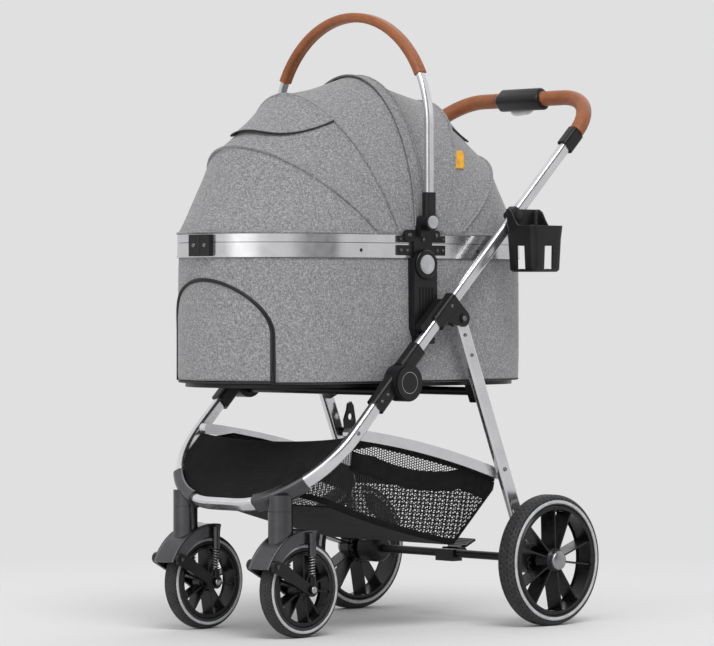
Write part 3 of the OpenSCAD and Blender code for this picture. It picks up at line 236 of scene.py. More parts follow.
def anodised(name, tone=205, rough=0.3):
    mat, tree, shader = newMaterial(name, grey(tone, 3), rough, 0.92)
    point = objectPoint(tree)
    brushed = noise(tree, point, 60, 2.0, 0.5)
    feed(tree, shader, ramp(tree, brushed, (0.3, rough - 0.03), (0.7, rough + 0.04)), "Roughness")
    cloudy = noise(tree, point, 22, 2.0, 0.5)
    feed(tree, shader, ramp(tree, cloudy, (0.3, grey(tone - 7, 3)), (0.7, grey(tone + 3, 2))))
    addBump(tree, shader, noise(tree, point, 700, 1.0), 0.02, 0.0001)
    return mat


def mouldedPlastic(name, tone=44, rough=0.46, warm=2):
    mat, tree, shader = newMaterial(name, grey(tone, warm), rough)
    point = objectPoint(tree)
    handling = noise(tree, point, 26, 3.0, 0.6)
    feed(tree, shader, ramp(tree, handling, (0.3, grey(tone - 5, warm)), (0.72, grey(tone + 6, warm))))
    feed(tree, shader, ramp(tree, handling, (0.3, rough - 0.06), (0.7, rough + 0.07)), "Roughness")
    addBump(tree, shader, noise(tree, point, 1500, 2.0, 0.6), 0.14, 0.0003)
    shader.inputs["Specular IOR Level"].default_value = 0.32
    return mat


def hideLeather(name):
    mat, tree, shader = newMaterial(name, srgb(150, 86, 42), 0.4)
    point = objectPoint(tree)
    patina = noise(tree, point, 38, 4.0, 0.62)
    colour = ramp(tree, patina, (0.28, srgb(112, 60, 28)), (0.52, srgb(140, 78, 38)), (0.75, srgb(160, 94, 50)))
    cells = addNode(tree, "TexVoronoi", {"feature": "DISTANCE_TO_EDGE", "Scale": 620.0}, {"Vector": point})
    grain = maths(tree, "MINIMUM", cells.outputs["Distance"], 0.25)
    creases = ramp(tree, grain, (0.0, srgb(120, 62, 30)), (0.2, srgb(184, 110, 62)))
    feed(tree, shader, blendColour(tree, 0.25, colour, creases))
    feed(tree, shader, ramp(tree, patina, (0.3, 0.42), (0.7, 0.56)), "Roughness")
    first = addBump(tree, shader, grain, 0.5, 0.0006)
    addBump(tree, shader, patina, 0.2, 0.0008, first)
    return mat


def treadRubber(name, centre, radius, dimplesRound=70, shoulder=0.012):
    # honeycomb of small dimples round the tread and its shoulders
    mat, tree, shader = newMaterial(name, grey(40, 2), 0.72)
    point = objectPoint(tree, (1, 1, 1), centre)
    x, y, z = splitPoint(tree, point)[:3]
    around = maths(tree, "MULTIPLY", maths(tree, "ARCTAN2", z, y), radius)
    reach = planeLength(tree, y, z)
    across = maths(tree, "SUBTRACT", x, maths(tree, "MULTIPLY", maths(tree, "SIGN", x), reach))
    gap = holeDistance(tree, around, across, round(2 * pi * radius / dimplesRound, 6))
    dimple = ramp(tree, gap, (0.2, 0.0), (0.36, 1.0))
    tread = maths(tree, "GREATER_THAN", reach, radius - shoulder)
    height = maths(tree, "MULTIPLY_ADD", maths(tree, "SUBTRACT", dimple, 1.0), tread, 1.0)
    dusty = noise(tree, point, 60, 3.0, 0.6)
    colour = ramp(tree, dusty, (0.3, grey(33, 2)), (0.7, grey(52, 2)))
    # painted shade: the tread's dimples are coloured near black where the bump makes recesses
    feed(tree, shader, blendColour(tree, height, grey(20, 1), colour))
    addBump(tree, shader, height, 0.8, 0.0012)
    return mat


def softTrim(name, r, g, b, rough=0.6):
    mat, tree, shader = newMaterial(name, srgb(r, g, b), rough)
    point = objectPoint(tree)
    tone = noise(tree, point, 60, 2.0, 0.5)
    pale = srgb(*[min(255, part * 1.05) for part in (r, g, b)])
    feed(tree, shader, ramp(tree, tone, (0.3, srgb(r * 0.92, g * 0.92, b * 0.92)), (0.7, pale)))
    addBump(tree, shader, noise(tree, point, 900, 1.0), 0.25, 0.0004)
    return mat


finish = {
    "heather": heatherCloth("heatherCloth"),
    "canvas": blackCanvas("blackCanvas"),
    "lining": blackCanvas("darkLining", 28),
    "net": meshNet("basketNet"),
    "silver": anodised("anodisedSilver", 216, 0.2),
    "steel": anodised("plainSteel", 176, 0.3),
    "plastic": mouldedPlastic("darkPlastic", 21, 0.36),
    "black": mouldedPlastic("blackPlastic", 15, 0.34),
    "gunmetal": anodised("gunmetalPaint", 86, 0.24),
    "rim": mouldedPlastic("rimPlastic", 18, 0.28),
    "leather": hideLeather("tanLeather"),
    "ring": softTrim("paleRing", 186, 187, 189, 0.45),
    "cap": softTrim("hubCapGrey", 168, 170, 173, 0.4),
    "button": softTrim("buttonGrey", 176, 178, 181, 0.42),
    "yellow": softTrim("yellowTape", 240, 172, 4),
    "blade": softTrim("bladePaint", 236, 236, 238, 0.3),
    # thin dark lines: painted shadow below the canopy beads, and sewn lines beside the middle channel's beads
    # that also paint their shade
    "seam": blackCanvas("seamThreadAndShadeLine", 108),
    "zip": softTrim("blackTape", 24, 24, 26, 0.6),
    "thread": softTrim("tanThread", 214, 170, 120, 0.8),
    "padding": blackCanvas("matCloth", 62),
}
print("finishes made:", len(finish))


def dress(material, *names):
    for name in names:
        mesh = nodes[name].data
        if not mesh.materials:
            mesh.materials.append(material)
        for slotPlace in range(len(mesh.materials)):
            mesh.materials[slotPlace] = material


dress(finish["silver"], "front_tube", "handle_tube", "rear_legs", "lower_rail", "upper_rail", "carry_tube",
      "basket_bars")
dress(finish["plastic"], "front_sleeves", "hub_shells", "leg_collars", "carrier_receivers", "handle_collars",
      "handle_housing", "cup_holder", "rail_joints", "adapters", "carry_pivots", "fold_latch", "brake_pedal",
      "axle_housings", "base_pan")
dress(finish["button"], "release_lever")
dress(finish["black"], "rear_axle", "front_cross_tube", "rear_cross_tube", "middle_bow", "front_second_bow",
      "rear_second_bow", "front_outer_bow", "rear_outer_bow", "suspension_arm_left", "suspension_arm_right")
dress(finish["gunmetal"], "caster_brackets", "caster_fork_left", "caster_fork_right")
dress(finish["steel"], "springs_left", "springs_right")
dress(finish["leather"], "handle_grip", "carry_grip")
dress(finish["button"], "adapter_button_left", "adapter_button_right", "carry_button_left",
      "carry_button_right")
dress(finish["rim"], "rim_front_left", "rim_front_right", "rim_rear_left", "rim_rear_right")
wheels = {}
for end in ("front", "rear"):
    for side in ("left", "right"):
        low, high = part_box("tyre_" + end + "_" + side)
        centre = [(a + b) / 2 for a, b in zip(low, high)]
        radius = (high[2] - low[2]) / 2
        wheels[end + "_" + side] = (centre, radius)
        dress(treadRubber("tread_" + end + "_" + side, centre, radius), "tyre_" + end + "_" + side)
print("solid pieces dressed")


room = {"backTone": 0.745, "skyLight": 0.5, "keyLight": 1.5, "fillLight": 0.75, "rimLight": 0.55,
        "floorSize": 60.0, "fadeFrom": 0.7, "fadeTo": 1.9}
# the room is flat pale to the camera, and shows gloss a dark horizon with a dark strip in it
world = bpy.data.worlds.new("paleRoom")
scene.world = world
world.use_nodes = True
tree = world.node_tree
back = tree.nodes["Background"]
out = tree.nodes["World Output"]
path = addNode(tree, "LightPath")
back.inputs["Color"].default_value = (1, 1, 1, 1)
back.inputs["Strength"].default_value = room["skyLight"]
plain = addNode(tree, "Background", {"Color": (room["backTone"],) * 3 + (1,), "Strength": 1.0})
sky = addNode(tree, "Background", {"Strength": 1.0})
facing = addNode(tree, "TexCoord")
along, off, height = splitPoint(tree, facing.outputs["Generated"])
turn = maths(tree, "MULTIPLY_ADD", maths(tree, "ARCTAN2", off, along), 0.5 / pi, 0.5)
strips = ramp(tree, turn, (0.42, 1.0), (0.48, 0.2), (0.575, 0.16), (0.612, 1.0))
levels = ramp(tree, maths(tree, "MULTIPLY_ADD", height, 0.5, 0.5), (0.2, 0.1), (0.46, 0.22), (0.53, 0.85),
              (0.62, 1.0), (0.8, 0.9))
tree.links.new(maths(tree, "MULTIPLY", levels, strips), sky.inputs["Color"])
straight = maths(tree, "MAXIMUM", path.outputs["Is Camera Ray"], path.outputs["Is Transmission Ray"])
mirrorMix = addNode(tree, "MixShader", {},
                    {0: path.outputs["Is Glossy Ray"], 1: back.outputs[0], 2: sky.outputs[0]})
lastMix = addNode(tree, "MixShader", {}, {0: straight, 1: mirrorMix.outputs[0], 2: plain.outputs[0]})
tree.links.new(lastMix.outputs[0], out.inputs["Surface"])


def addSun(name, strength, spread, tilt, turn):
    lamp = bpy.data.lights.new(name, "SUN")
    lamp.energy = strength
    lamp.angle = radians(spread)
    addObject(name, lamp).rotation_euler = (radians(tilt), 0, radians(turn))


addSun("keySun", room["keyLight"], 35, 38, 62)
addSun("fillSun", room["fillLight"], 60, 62, 8)
addSun("backSun", room["rimLight"], 50, 50, 205)

floorMesh = bpy.data.meshes.new("floor")
bm = bmesh.new()
bmesh.ops.create_grid(bm, x_segments=2, y_segments=2, size=room["floorSize"] / 2)
bm.to_mesh(floorMesh)
bm.free()
ground = addObject("floor", floorMesh)
floorMat, tree, shader = newMaterial("paleFloor", (room["backTone"],) * 3 + (1,), 0.9)
shader.inputs["Specular IOR Level"].default_value = 0.0
point = objectPoint(tree)
distance = addNode(tree, "VectorMath", {"operation": "LENGTH"}, {0: point}).outputs["Value"]
fade = addNode(tree, "MapRange", {"From Min": room["fadeFrom"], "From Max": room["fadeTo"]},
               {"Value": distance}).outputs["Result"]
glow = addNode(tree, "Emission", {"Color": (room["backTone"],) * 3 + (1,), "Strength": 1.0})
floorPath = addNode(tree, "LightPath")
clear = maths(tree, "MAXIMUM", floorPath.outputs["Is Glossy Ray"], floorPath.outputs["Is Transmission Ray"])
seen = maths(tree, "MAXIMUM", floorPath.outputs["Is Camera Ray"], clear)
mixFloor = addNode(tree, "MixShader", {},
                   {0: maths(tree, "MULTIPLY", fade, seen), 1: shader.outputs[0], 2: glow.outputs[0]})
tree.links.new(mixFloor.outputs[0], tree.nodes["Material Output"].inputs["Surface"])
floorMesh.materials.append(floorMat)

view = {"place": (5.0800, -4.8668, 0.6181), "turn": 46.45, "lens": 184.2, "shift": -0.0296}
cameraData = bpy.data.cameras.new("camera")
cameraData.sensor_width = 36
cameraData.lens = view["lens"]
cameraData.shift_y = view["shift"]
camera = addObject("camera", cameraData)
camera.location = view["place"]
camera.rotation_euler = (radians(90), 0, radians(view["turn"]))
scene.camera = camera
scene.view_settings.view_transform = "Standard"
print("room, lights and camera set")


def shade(mesh, smooth=True):
    mesh.polygons.foreach_set("use_smooth", [smooth] * len(mesh.polygons))


def makePiece(name, bm, material, smooth=True):
    mesh = bpy.data.meshes.new(name)
    bm.to_mesh(mesh)
    bm.free()
    mesh.materials.append(material)
    shade(mesh, smooth)
    return addObject(name, mesh)


def settle(piece, body, slot, *replaced):
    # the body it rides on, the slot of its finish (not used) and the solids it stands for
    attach(piece, body)
    if replaced:
        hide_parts(*replaced)


def mergeMeshes(pieces):
    bm = bmesh.new()
    for piece in pieces:
        bm.from_mesh(piece.data)
        old = piece.data
        bpy.data.objects.remove(piece)
        bpy.data.meshes.remove(old)
    return bm


def gridSheet(name, columns, rows, place, material, cloth, outward):
    # a grid whose corners are carried to place(across, along), both from 0 to 1, with its faces turned
    # away from the point outward
    bm = bmesh.new()
    bmesh.ops.create_grid(bm, x_segments=columns, y_segments=rows, size=0.5)
    weave = bm.loops.layers.uv.new("weave")
    spots = {}
    for vert in bm.verts:
        spots[vert.index] = (min(1, max(0, vert.co.x + 0.5)), min(1, max(0, vert.co.y + 0.5)))
    for face in bm.faces:
        for loop in face.loops:
            across, along = spots[loop.vert.index]
            loop[weave].uv = (across * cloth[0], along * cloth[1])
    for vert in bm.verts:
        vert.co = place(*spots[vert.index])
    bmesh.ops.remove_doubles(bm, verts=bm.verts, dist=0.00008)
    bm.normal_update()
    lean = 0
    for face in bm.faces:
        lean += face.normal.dot(face.calc_center_median() - Vector(outward)) * face.calc_area()
    if lean < 0:
        bmesh.ops.reverse_faces(bm, faces=bm.faces)
    return makePiece(name, bm, material)


def clothArea(piece):
    return sum(face.area for face in piece.data.polygons)


def thicken(piece, wall, inward=True):
    # gives a cloth its wall, and returns the area it had without one
    area = clothArea(piece)
    layer = piece.modifiers.new("wall", "SOLIDIFY")
    layer.thickness = wall
    layer.offset = -1 if inward else 1
    layer.use_even_offset = False
    bakeModifiers(piece)
    return area


def bakeModifiers(piece):
    graph = bpy.context.evaluated_depsgraph_get()
    mesh = bpy.data.meshes.new_from_object(piece.evaluated_get(graph))
    old = piece.data
    piece.modifiers.clear()
    piece.data = mesh
    mesh.name = piece.name
    bpy.data.meshes.remove(old)
    shade(mesh)


def pipeAlong(name, points, radius, material, closed=False):
    # round cord along a path, made into a mesh
    line = bpy.data.curves.new(name, "CURVE")
    line.dimensions = "3D"
    line.bevel_depth = radius
    line.bevel_resolution = 2
    line.use_fill_caps = not closed
    spline = line.splines.new("POLY")
    spline.points.add(len(points) - 1)
    for spot, point in zip(spline.points, points):
        spot.co = (point[0], point[1], point[2], 1)
    spline.use_cyclic_u = closed
    holder = addObject(name + "Line", line)
    bpy.context.view_layer.update()
    mesh = bpy.data.meshes.new_from_object(holder.evaluated_get(bpy.context.evaluated_depsgraph_get()))
    bpy.data.objects.remove(holder)
    bpy.data.curves.remove(line)
    mesh.name = name
    mesh.materials.clear()
    mesh.materials.append(material)
    shade(mesh)
    return addObject(name, mesh)


def joinPieces(name, pieces):
    material = pieces[0].data.materials[0]
    return makePiece(name, mergeMeshes(pieces), material)


def pipeSet(name, paths, radius, material):
    return joinPieces(name, [pipeAlong("line", points, radius, material) for points in paths])


def rivets(name, spots, material):
    # spots are (place, outward direction, radius, height)
    bm = bmesh.new()
    for place, outward, radius, height in spots:
        turn = Vector(outward).normalized().to_track_quat("Z", "Y").to_matrix().to_4x4()
        made = bmesh.ops.create_cone(bm, cap_ends=True, segments=20, radius1=radius, radius2=radius * 0.82,
                                     depth=height, matrix=Matrix.Translation(Vector(place)) @ turn
                                     @ Matrix.Translation((0, 0, height / 2)))
        top = [face for face in {f for vert in made["verts"] for f in vert.link_faces}
               if len(face.verts) == 20 and face.normal.dot(Vector(outward)) > 0.5 * Vector(outward).length]
        if top:
            bmesh.ops.inset_region(bm, faces=top, thickness=radius * 0.42, depth=0.0)
            sunk = list({vert for face in top for vert in face.verts})
            bmesh.ops.translate(bm, verts=sunk, vec=Vector(outward).normalized() * -height * 0.3)
    return makePiece(name, bm, material, False)


canopy = {"halfWidth": 0.184, "feet": (0.112, 0.055, 0.0), "lengths": (0.243, 0.2805, 0.2965),
          "slopes": (39.2, 64.7, 90.0), "pivotHeight": 0.7513, "middle": -0.052, "dip": 0.005,
          "stand": 0.0034, "wall": 0.0013, "railDrop": 0.0077, "straight": 0.192, "radius": 0.185}


def bowPoint(bow, angle, out):
    slope = radians(canopy["slopes"][bow])
    reach = (canopy["lengths"][bow] + out) * sin(angle)
    return Vector(((canopy["halfWidth"] + out) * cos(angle),
                   -canopy["feet"][bow] - reach * cos(slope), reach * sin(slope)))


def rimPoint(angle, out):
    whole = canopy["straight"] + canopy["radius"] * pi / 2
    quarter = (pi - angle if angle > pi / 2 else angle) / (pi / 2)
    run = canopy["feet"][0] + quarter * (whole - canopy["feet"][0])
    turn = max(0, run - canopy["straight"]) / canopy["radius"]
    x = (canopy["halfWidth"] + out) * cos(turn)
    y = -min(run, canopy["straight"]) - (canopy["halfWidth"] + out) * sin(turn)
    return Vector((-x if angle > pi / 2 else x, y, -canopy["railDrop"]))


def canopyPoint(share, angle, out):
    # share: 0 at the rail, 1 at the outer bow, 2 at the next, 3 at the middle bow
    angle = max(0.0, min(pi, angle))
    if share < 1:
        low, high = rimPoint(angle, out), bowPoint(0, angle, out)
        sag = 0.0028 * sin(pi * share) * sin(angle)
        spot = low.lerp(high, share)
        return spot + (high - low).cross(Vector((1, 0, 0))).normalized() * sag
    bow = 0 if share < 2 else 1
    part = share - 1 - bow
    spot = bowPoint(bow, angle, out).lerp(bowPoint(bow + 1, angle, out), part)
    return spot - spot.normalized() * canopy["dip"] * 4 * part * (1 - part) * sin(angle)


def placed(spot, end):
    # end is 1 for the front half and -1 for its twin at the rear
    return Vector((spot.x, canopy["middle"] + spot.y * end, canopy["pivotHeight"] + spot.z))


def canopySpacing(along):
    # rows close together at the bows
    share = along * 3
    whole = floor(min(share, 2.9999))
    part = share - whole
    return whole + part - 0.75 * sin(2 * pi * part) / (2 * pi)


cordRidge = {"gap": 0.17, "high": 0.0016, "wide": 0.0035, "groove": 0.0011, "grooveWide": 0.0022,
             "grooveAt": 0.0085}


def ridge(share, angle):
    # how far the cloth stands out over a bow, with its low folds and waves
    height = 0
    for bow in (1, 2):
        far = (share - bow) * cordRidge["gap"]
        height += cordRidge["high"] * exp(-(far / cordRidge["wide"]) ** 2)
        height -= cordRidge["groove"] * exp(-((far + cordRidge["grooveAt"]) / cordRidge["grooveWide"]) ** 2)
    side = sin(angle)
    pull = 0.0009 * exp(-(side / 0.35) ** 2) * sin(share * 41 + angle * 5) * (1 - side * 0.5)
    wave = 0.0006 * sin(angle * 9 + share * 3.1) * sin(share * 7.3 + angle * 2) * side
    return height + pull + wave


def bendShare(share):
    # share of the outer bow's turn, the second bow takes 0.65 of it
    if share < 1:
        return share
    return 1 - 0.35 * (share - 1) if share < 2 else 0.65 * (3 - share)


def shareOnMesh(piece, pairs):
    # bakes the cloth's placement and works out how far each point would go with its outer bow; the shares are
    # not kept
    tree = KDTree(len(pairs))
    for place, pair in enumerate(pairs):
        tree.insert(pair[0], place)
    tree.balance()
    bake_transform(piece)
    weights = [max(0.0, min(1.0, bendShare(pairs[tree.find(vert.co)[1]][1]))) for vert in piece.data.vertices]


def flapEdge(angle):
    return min(1.0, 0.28 + 0.72 * (abs(degrees(angle) - 90) / 37.6) ** 4)


def makeCanopyHalf(end):
    word = "front" if end > 0 else "rear"
    columns = 132

    def place(across, along):
        share = canopySpacing(along)
        column = across * columns
        if column < 0.5 or column > columns - 0.5:
            spot = bowPoint(0, 0, canopy["stand"]) if share < 1 else canopyPoint(share, 0, canopy["stand"])
            spot = Vector((spot.x if column < 0.5 else -spot.x, spot.y, -canopy["railDrop"]))
            return placed(spot, end)
        angle = pi * (column - 1) / (columns - 2)
        spot = canopyPoint(share, angle, canopy["stand"])
        out = Vector((spot.x, spot.y * 0.7, max(spot.z, 0.02))).normalized()
        return placed(spot + out * ridge(share, angle) * min(1, spot.z / 0.02 if spot.z > 0 else 0), end)

    inside = placed(Vector((0, -0.1, 0)), end)
    piece = gridSheet("canopy_" + word, columns, 84, place, finish["heather"], (0.9, 0.55), inside)
    area = thicken(piece, canopy["wall"])
    pairs = [(placed(canopyPoint(share, pi * step / 60, canopy["stand"]), end), share)
             for share in [k / 30 for k in range(91)] for step in range(61)]
    shareOnMesh(piece, pairs)
    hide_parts(word + "_gores", word + "_canopy_panel")

    # flap over the upper part, free along its lower edge
    tips = radians(37.4)

    def flapSpot(across, part, extra=0.0):
        angle = pi / 2 + (across * 2 - 1) * tips
        edge = flapEdge(angle)
        share = 1 + edge + (1.0 - edge) * part
        lift = 0.0022 + 0.0065 * (1 - part) ** 3 * cos((across * 2 - 1) * pi / 2) ** 1.5 + extra
        spot = canopyPoint(share, angle, canopy["stand"])
        return spot + spot.normalized() * lift, share

    flap = gridSheet("flap_" + word, 70, 24, lambda a, b: placed(flapSpot(a, b)[0], end), finish["heather"],
                     (0.4, 0.12), inside)
    area = thicken(flap, 0.0012)
    shareOnMesh(flap, pairs)
    edgeLine = [placed(flapSpot(step / 60, 0.0, 0.0003)[0], end) for step in range(61)]
    piping = pipeAlong("flapPiping_" + word, edgeLine, 0.0016, finish["zip"])
    shareOnMesh(piping, pairs)

    # corded ridges over the two inner bows, and on the low side of each a thin dark line of painted shadow
    # below the bead
    for kind, back, stand, radius, colour, steps in (
            ("Beads", 0.0, 0.0012, 0.0029, "heather", range(121)),
            ("SeamShadeLines", 0.021, 0.0001, 0.0007, "seam", range(1, 120))):
        paths = []
        for bow in (1, 2):
            spots = [canopyPoint(bow - back, pi * step / 120, canopy["stand"] + stand) for step in steps]
            paths.append([placed(spot, end) for spot in spots])
        line = pipeSet("canopy" + kind + "_" + word, paths, radius, finish[colour])
        shareOnMesh(line, pairs)

    # hem on the rail
    hemTurns = [radians(3 + step * 174 / 90) for step in range(91)]
    hemLine = [placed(rimPoint(turn, canopy["stand"] + 0.0004) + Vector((0, 0, 0.0026)), end)
               for turn in hemTurns]
    hem = pipeAlong("canopyHem_" + word, hemLine, 0.0022, finish["heather"])
    settle(hem, "carrier", "grey_cloth")
    return pairs


print("making the canopy")
canopyShares = {end: makeCanopyHalf(end) for end in (1, -1)}


def middleBand(across, along):
    # channel over the middle bow, between two sewn lines
    angle = pi * across
    side = (along * 2 - 1) * 0.0125
    spot = bowPoint(2, angle, canopy["stand"] + 0.0014 - 0.0009 * abs(along * 2 - 1) ** 4)
    if across < 0.004 or across > 0.996:
        spot.z = -canopy["railDrop"] + 0.001
    return placed(Vector((spot.x, spot.y + side, spot.z)), 1)


band = gridSheet("middleChannel", 120, 10, middleBand, finish["heather"], (0.95, 0.025),
                 placed(Vector((0, 0, 0)), 1))
area = thicken(band, 0.0012)
settle(band, "carrier", "grey_cloth")
# the two corded lines, and thin dark lines beside both of them that are partly sewn seams and partly painted
# shade beside the beads
for kind, offsets, stand, radius, colour in (
        ("Lines", (-0.0125, 0.0125), 0.0004, 0.0021, "heather"),
        ("SeamShadeLines", (-0.0155, -0.0098, 0.0098, 0.0155), 0.0007, 0.0006, "seam")):
    paths = [[placed(bowPoint(2, pi * step / 90, canopy["stand"] + stand) + Vector((0, offset, 0)), 1)
              for step in range(1, 90)] for offset in offsets]
    line = pipeSet("middleChannel" + kind, paths, radius, finish[colour])
    settle(line, "carrier", "grey_cloth")


def tabSpot(across, along):
    # plain tape sewn into the seam of a rear bow
    angle = radians(28.0 + along * 9.0 + across * (3.9 + 2.3 * along))
    share = 1.99 - across * 0.26
    spot = canopyPoint(share, angle, canopy["stand"])
    return placed(spot + spot.normalized() * (0.0022 + 0.0008 * sin(along * pi)), -1)


tab = gridSheet("sideTab", 10, 16, tabSpot, finish["yellow"], (0.034, 0.015), placed(Vector((0, -0.1, 0)), -1))
area = thicken(tab, 0.0012)
shareOnMesh(tab, canopyShares[-1])
print("canopy made")


tub = {"radius": 0.185, "straight": 0.192, "middle": -0.052, "low": 0.4670, "floor": 0.4713, "top": 0.7003,
       "wall": 0.0045, "doorAngle": 45.0, "doorSide": 0.084, "doorRise": 0.103, "puff": 0.0018}
doorHalf = tub["radius"] * sin(radians(tub["doorAngle"]))


def aroundTub(run, out=0.0):
    # run is the way round from the front's middle, along the outline of the tub
    bend = tub["radius"] * pi / 2
    sign = 1 if run >= 0 else -1
    run = abs(run)
    if run <= bend:
        turn = run / tub["radius"]
        x, y = sin(turn), -cos(turn)
        return Vector((sign * (tub["radius"] + out) * x,
                       tub["middle"] - tub["straight"] + (tub["radius"] + out) * y, 0))
    if run <= bend + 2 * tub["straight"]:
        return Vector((sign * (tub["radius"] + out), tub["middle"] - tub["straight"] + run - bend, 0))
    turn = (run - bend - 2 * tub["straight"]) / tub["radius"]
    return Vector((sign * (tub["radius"] + out) * cos(turn),
                   tub["middle"] + tub["straight"] + (tub["radius"] + out) * sin(turn), 0))


def archHeight(x, grow=0.0):
    half = doorHalf + grow
    inside = max(0.0, 1 - (x / half) ** 2)
    return tub["floor"] + 0.0008 + tub["doorSide"] + (tub["doorRise"] + grow) * sqrt(inside)


halfRound = pi * tub["radius"] + 2 * tub["straight"]
doorRun = tub["radius"] * radians(tub["doorAngle"])


def wallOut(run, height):
    part = (height - tub["low"]) / (tub["top"] - tub["low"])
    swell = tub["puff"] * sin(pi * max(0, min(1, part))) ** 0.7
    ripple = 0.0005 * sin(run * 31 + part * 4) * sin(part * 5.5 + run * 9)
    return swell + ripple


print("making the tub")
sideLevel = tub["floor"] + 0.0008 + tub["doorSide"]
lowRows, topRows = 16, 26


def sideWall(across, along):
    run = doorRun + across * (halfRound - doorRun) * 2
    if run > halfRound:
        run = run - 2 * halfRound
    row = along * (lowRows + topRows)
    if row <= lowRows:
        height = tub["low"] + (sideLevel - tub["low"]) * row / lowRows
    else:
        height = sideLevel + (tub["top"] - sideLevel) * (row - lowRows) / topRows
    spot = aroundTub(run, wallOut(run, height))
    spot.z = height
    return spot


def overDoor(across, along):
    # columns close together at the sides, where the arch is steep
    part = sin((across * 2 - 1) * pi / 2)
    run = doorRun * part
    x = tub["radius"] * sin(run / tub["radius"])
    low = archHeight(x)
    height = low + (tub["top"] - low) * along
    spot = aroundTub(run, wallOut(run, height))
    spot.z = height
    return spot


wall = gridSheet("tubSide", 220, lowRows + topRows, sideWall, finish["heather"], (1.5, 0.23), (0, -0.05, 0.6))
lintel = gridSheet("tubLintel", 80, topRows, overDoor, finish["heather"], (0.29, 0.1), (0, -0.05, 0.6))
bm = mergeMeshes((wall, lintel))
bmesh.ops.remove_doubles(bm, verts=bm.verts, dist=0.0002)
wall = makePiece("tubWall", bm, finish["heather"])
thicken(wall, tub["wall"])
settle(wall, "carrier", "grey_cloth", "tub")


def floorSpot(across, along):
    spot = aroundTub(halfRound * (1 - 2 * across), -0.006)
    middle = Vector((0, tub["middle"], 0))
    spot = middle + (spot - middle) * (0.02 + 0.98 * along)
    spot.z = tub["floor"] - 0.001
    return spot


board = gridSheet("tubFloor", 96, 6, floorSpot, finish["lining"], (1.8, 0.3), (0, -0.05, 0.2))
thicken(board, 0.003)
settle(board, "carrier", "black_cloth")

# black welt round the foot of the tub
weltLine = []
for step in range(160):
    spot = aroundTub(-halfRound + 2 * halfRound * step / 160, -0.0006)
    spot.z = tub["low"] + 0.0022
    weltLine.append(spot)
welt = pipeAlong("tubWelt", weltLine, 0.0021, finish["zip"], closed=True)
settle(welt, "carrier", "black_cloth")

door = {"gap": 0.0012, "puff": 0.0022, "wall": 0.0042}


def doorSpot(across, along):
    part = sin((across * 2 - 1) * pi / 2)
    run = (doorRun - door["gap"]) * part
    x = tub["radius"] * sin(run / tub["radius"])
    low = tub["floor"] + 0.0014
    height = low + (archHeight(x) - door["gap"] - low) * along
    edge = min(1 - abs(part), 1 - along, along) * 9
    spot = aroundTub(run, door["puff"] * min(1, max(0, edge)) ** 0.5 * 0.8)
    spot.z = height
    return spot


panel = gridSheet("doorPanel", 84, 44, doorSpot, finish["heather"], (0.29, 0.18), (0, -0.05, 0.55))
thicken(panel, door["wall"])
settle(panel, "front_door", "grey_cloth", "front_door")

zipper = {"width": 0.0072, "stand": 0.0021, "teeth": 0.0016, "arch": 0.366}


def archWay(part, grow, out):
    # part goes from 0 at the foot of one side to 1 at the foot of the other
    half = doorHalf + grow
    side = tub["doorSide"]
    arc = zipper["arch"]
    whole = 2 * side + arc
    way = part * whole
    if way < side:
        x, z = -half, tub["floor"] + way
    elif way > whole - side:
        x, z = half, tub["floor"] + whole - way
    else:
        turn = pi * (1 - (way - side) / arc)
        x = half * cos(turn)
        z = tub["floor"] + side + (tub["doorRise"] + grow) * sin(turn)
    run = tub["radius"] * asin(max(-0.999, min(0.999, x / tub["radius"])))
    spot = aroundTub(run, out)
    spot.z = z
    return spot


def zipTape(across, along):
    lean = 1 - abs(across * 2 - 1) ** 3
    return archWay(along, (across - 0.45) * zipper["width"], 0.0012 + zipper["stand"] * lean)


tape = gridSheet("zipTape", 8, 150, zipTape, finish["zip"], (0.0072, 0.53), (0, -0.05, 0.55))
thicken(tape, 0.0014)
settle(tape, "carrier", "black_cloth")
teethLine = [archWay(step / 150, 0.0004, 0.0034) for step in range(151)]
teeth = pipeAlong("zipTeeth", teethLine, zipper["teeth"], finish["black"])
settle(teeth, "carrier", "black_plastic")

# slider and its pull hang at the foot of the near side
bm = bmesh.new()
foot = archWay(0.985, 0.0002, 0.004)
outward = Vector((0.707, -0.707, 0))
turn = outward.to_track_quat("Z", "Y").to_matrix().to_4x4()
for stand, rise, size in ((0, 0.002, (0.008, 0.011, 0.004)), (0.0026, -0.008, (0.005, 0.016, 0.0018))):
    spot = foot + outward * stand + Vector((0, 0, rise))
    bmesh.ops.create_cube(bm, size=1, matrix=Matrix.Translation(spot) @ turn @ Matrix.Diagonal(size + (1,)))
bmesh.ops.bevel(bm, geom=list(bm.edges), offset=0.0008, segments=2, profile=0.5, affect="EDGES", material=-1)
slider = makePiece("zipSlider", bm, finish["black"])
settle(slider, "carrier", "black_plastic")
print("tub and door made")


pad = {"inset": 0.012, "low": 0.4722, "high": 0.4885, "voxel": 0.006, "pressure": 4.0, "cap": 0.004,
       "frames": 20, "channelPitch": 0.09, "channelWidth": 0.004, "channelDepth": 0.0035}


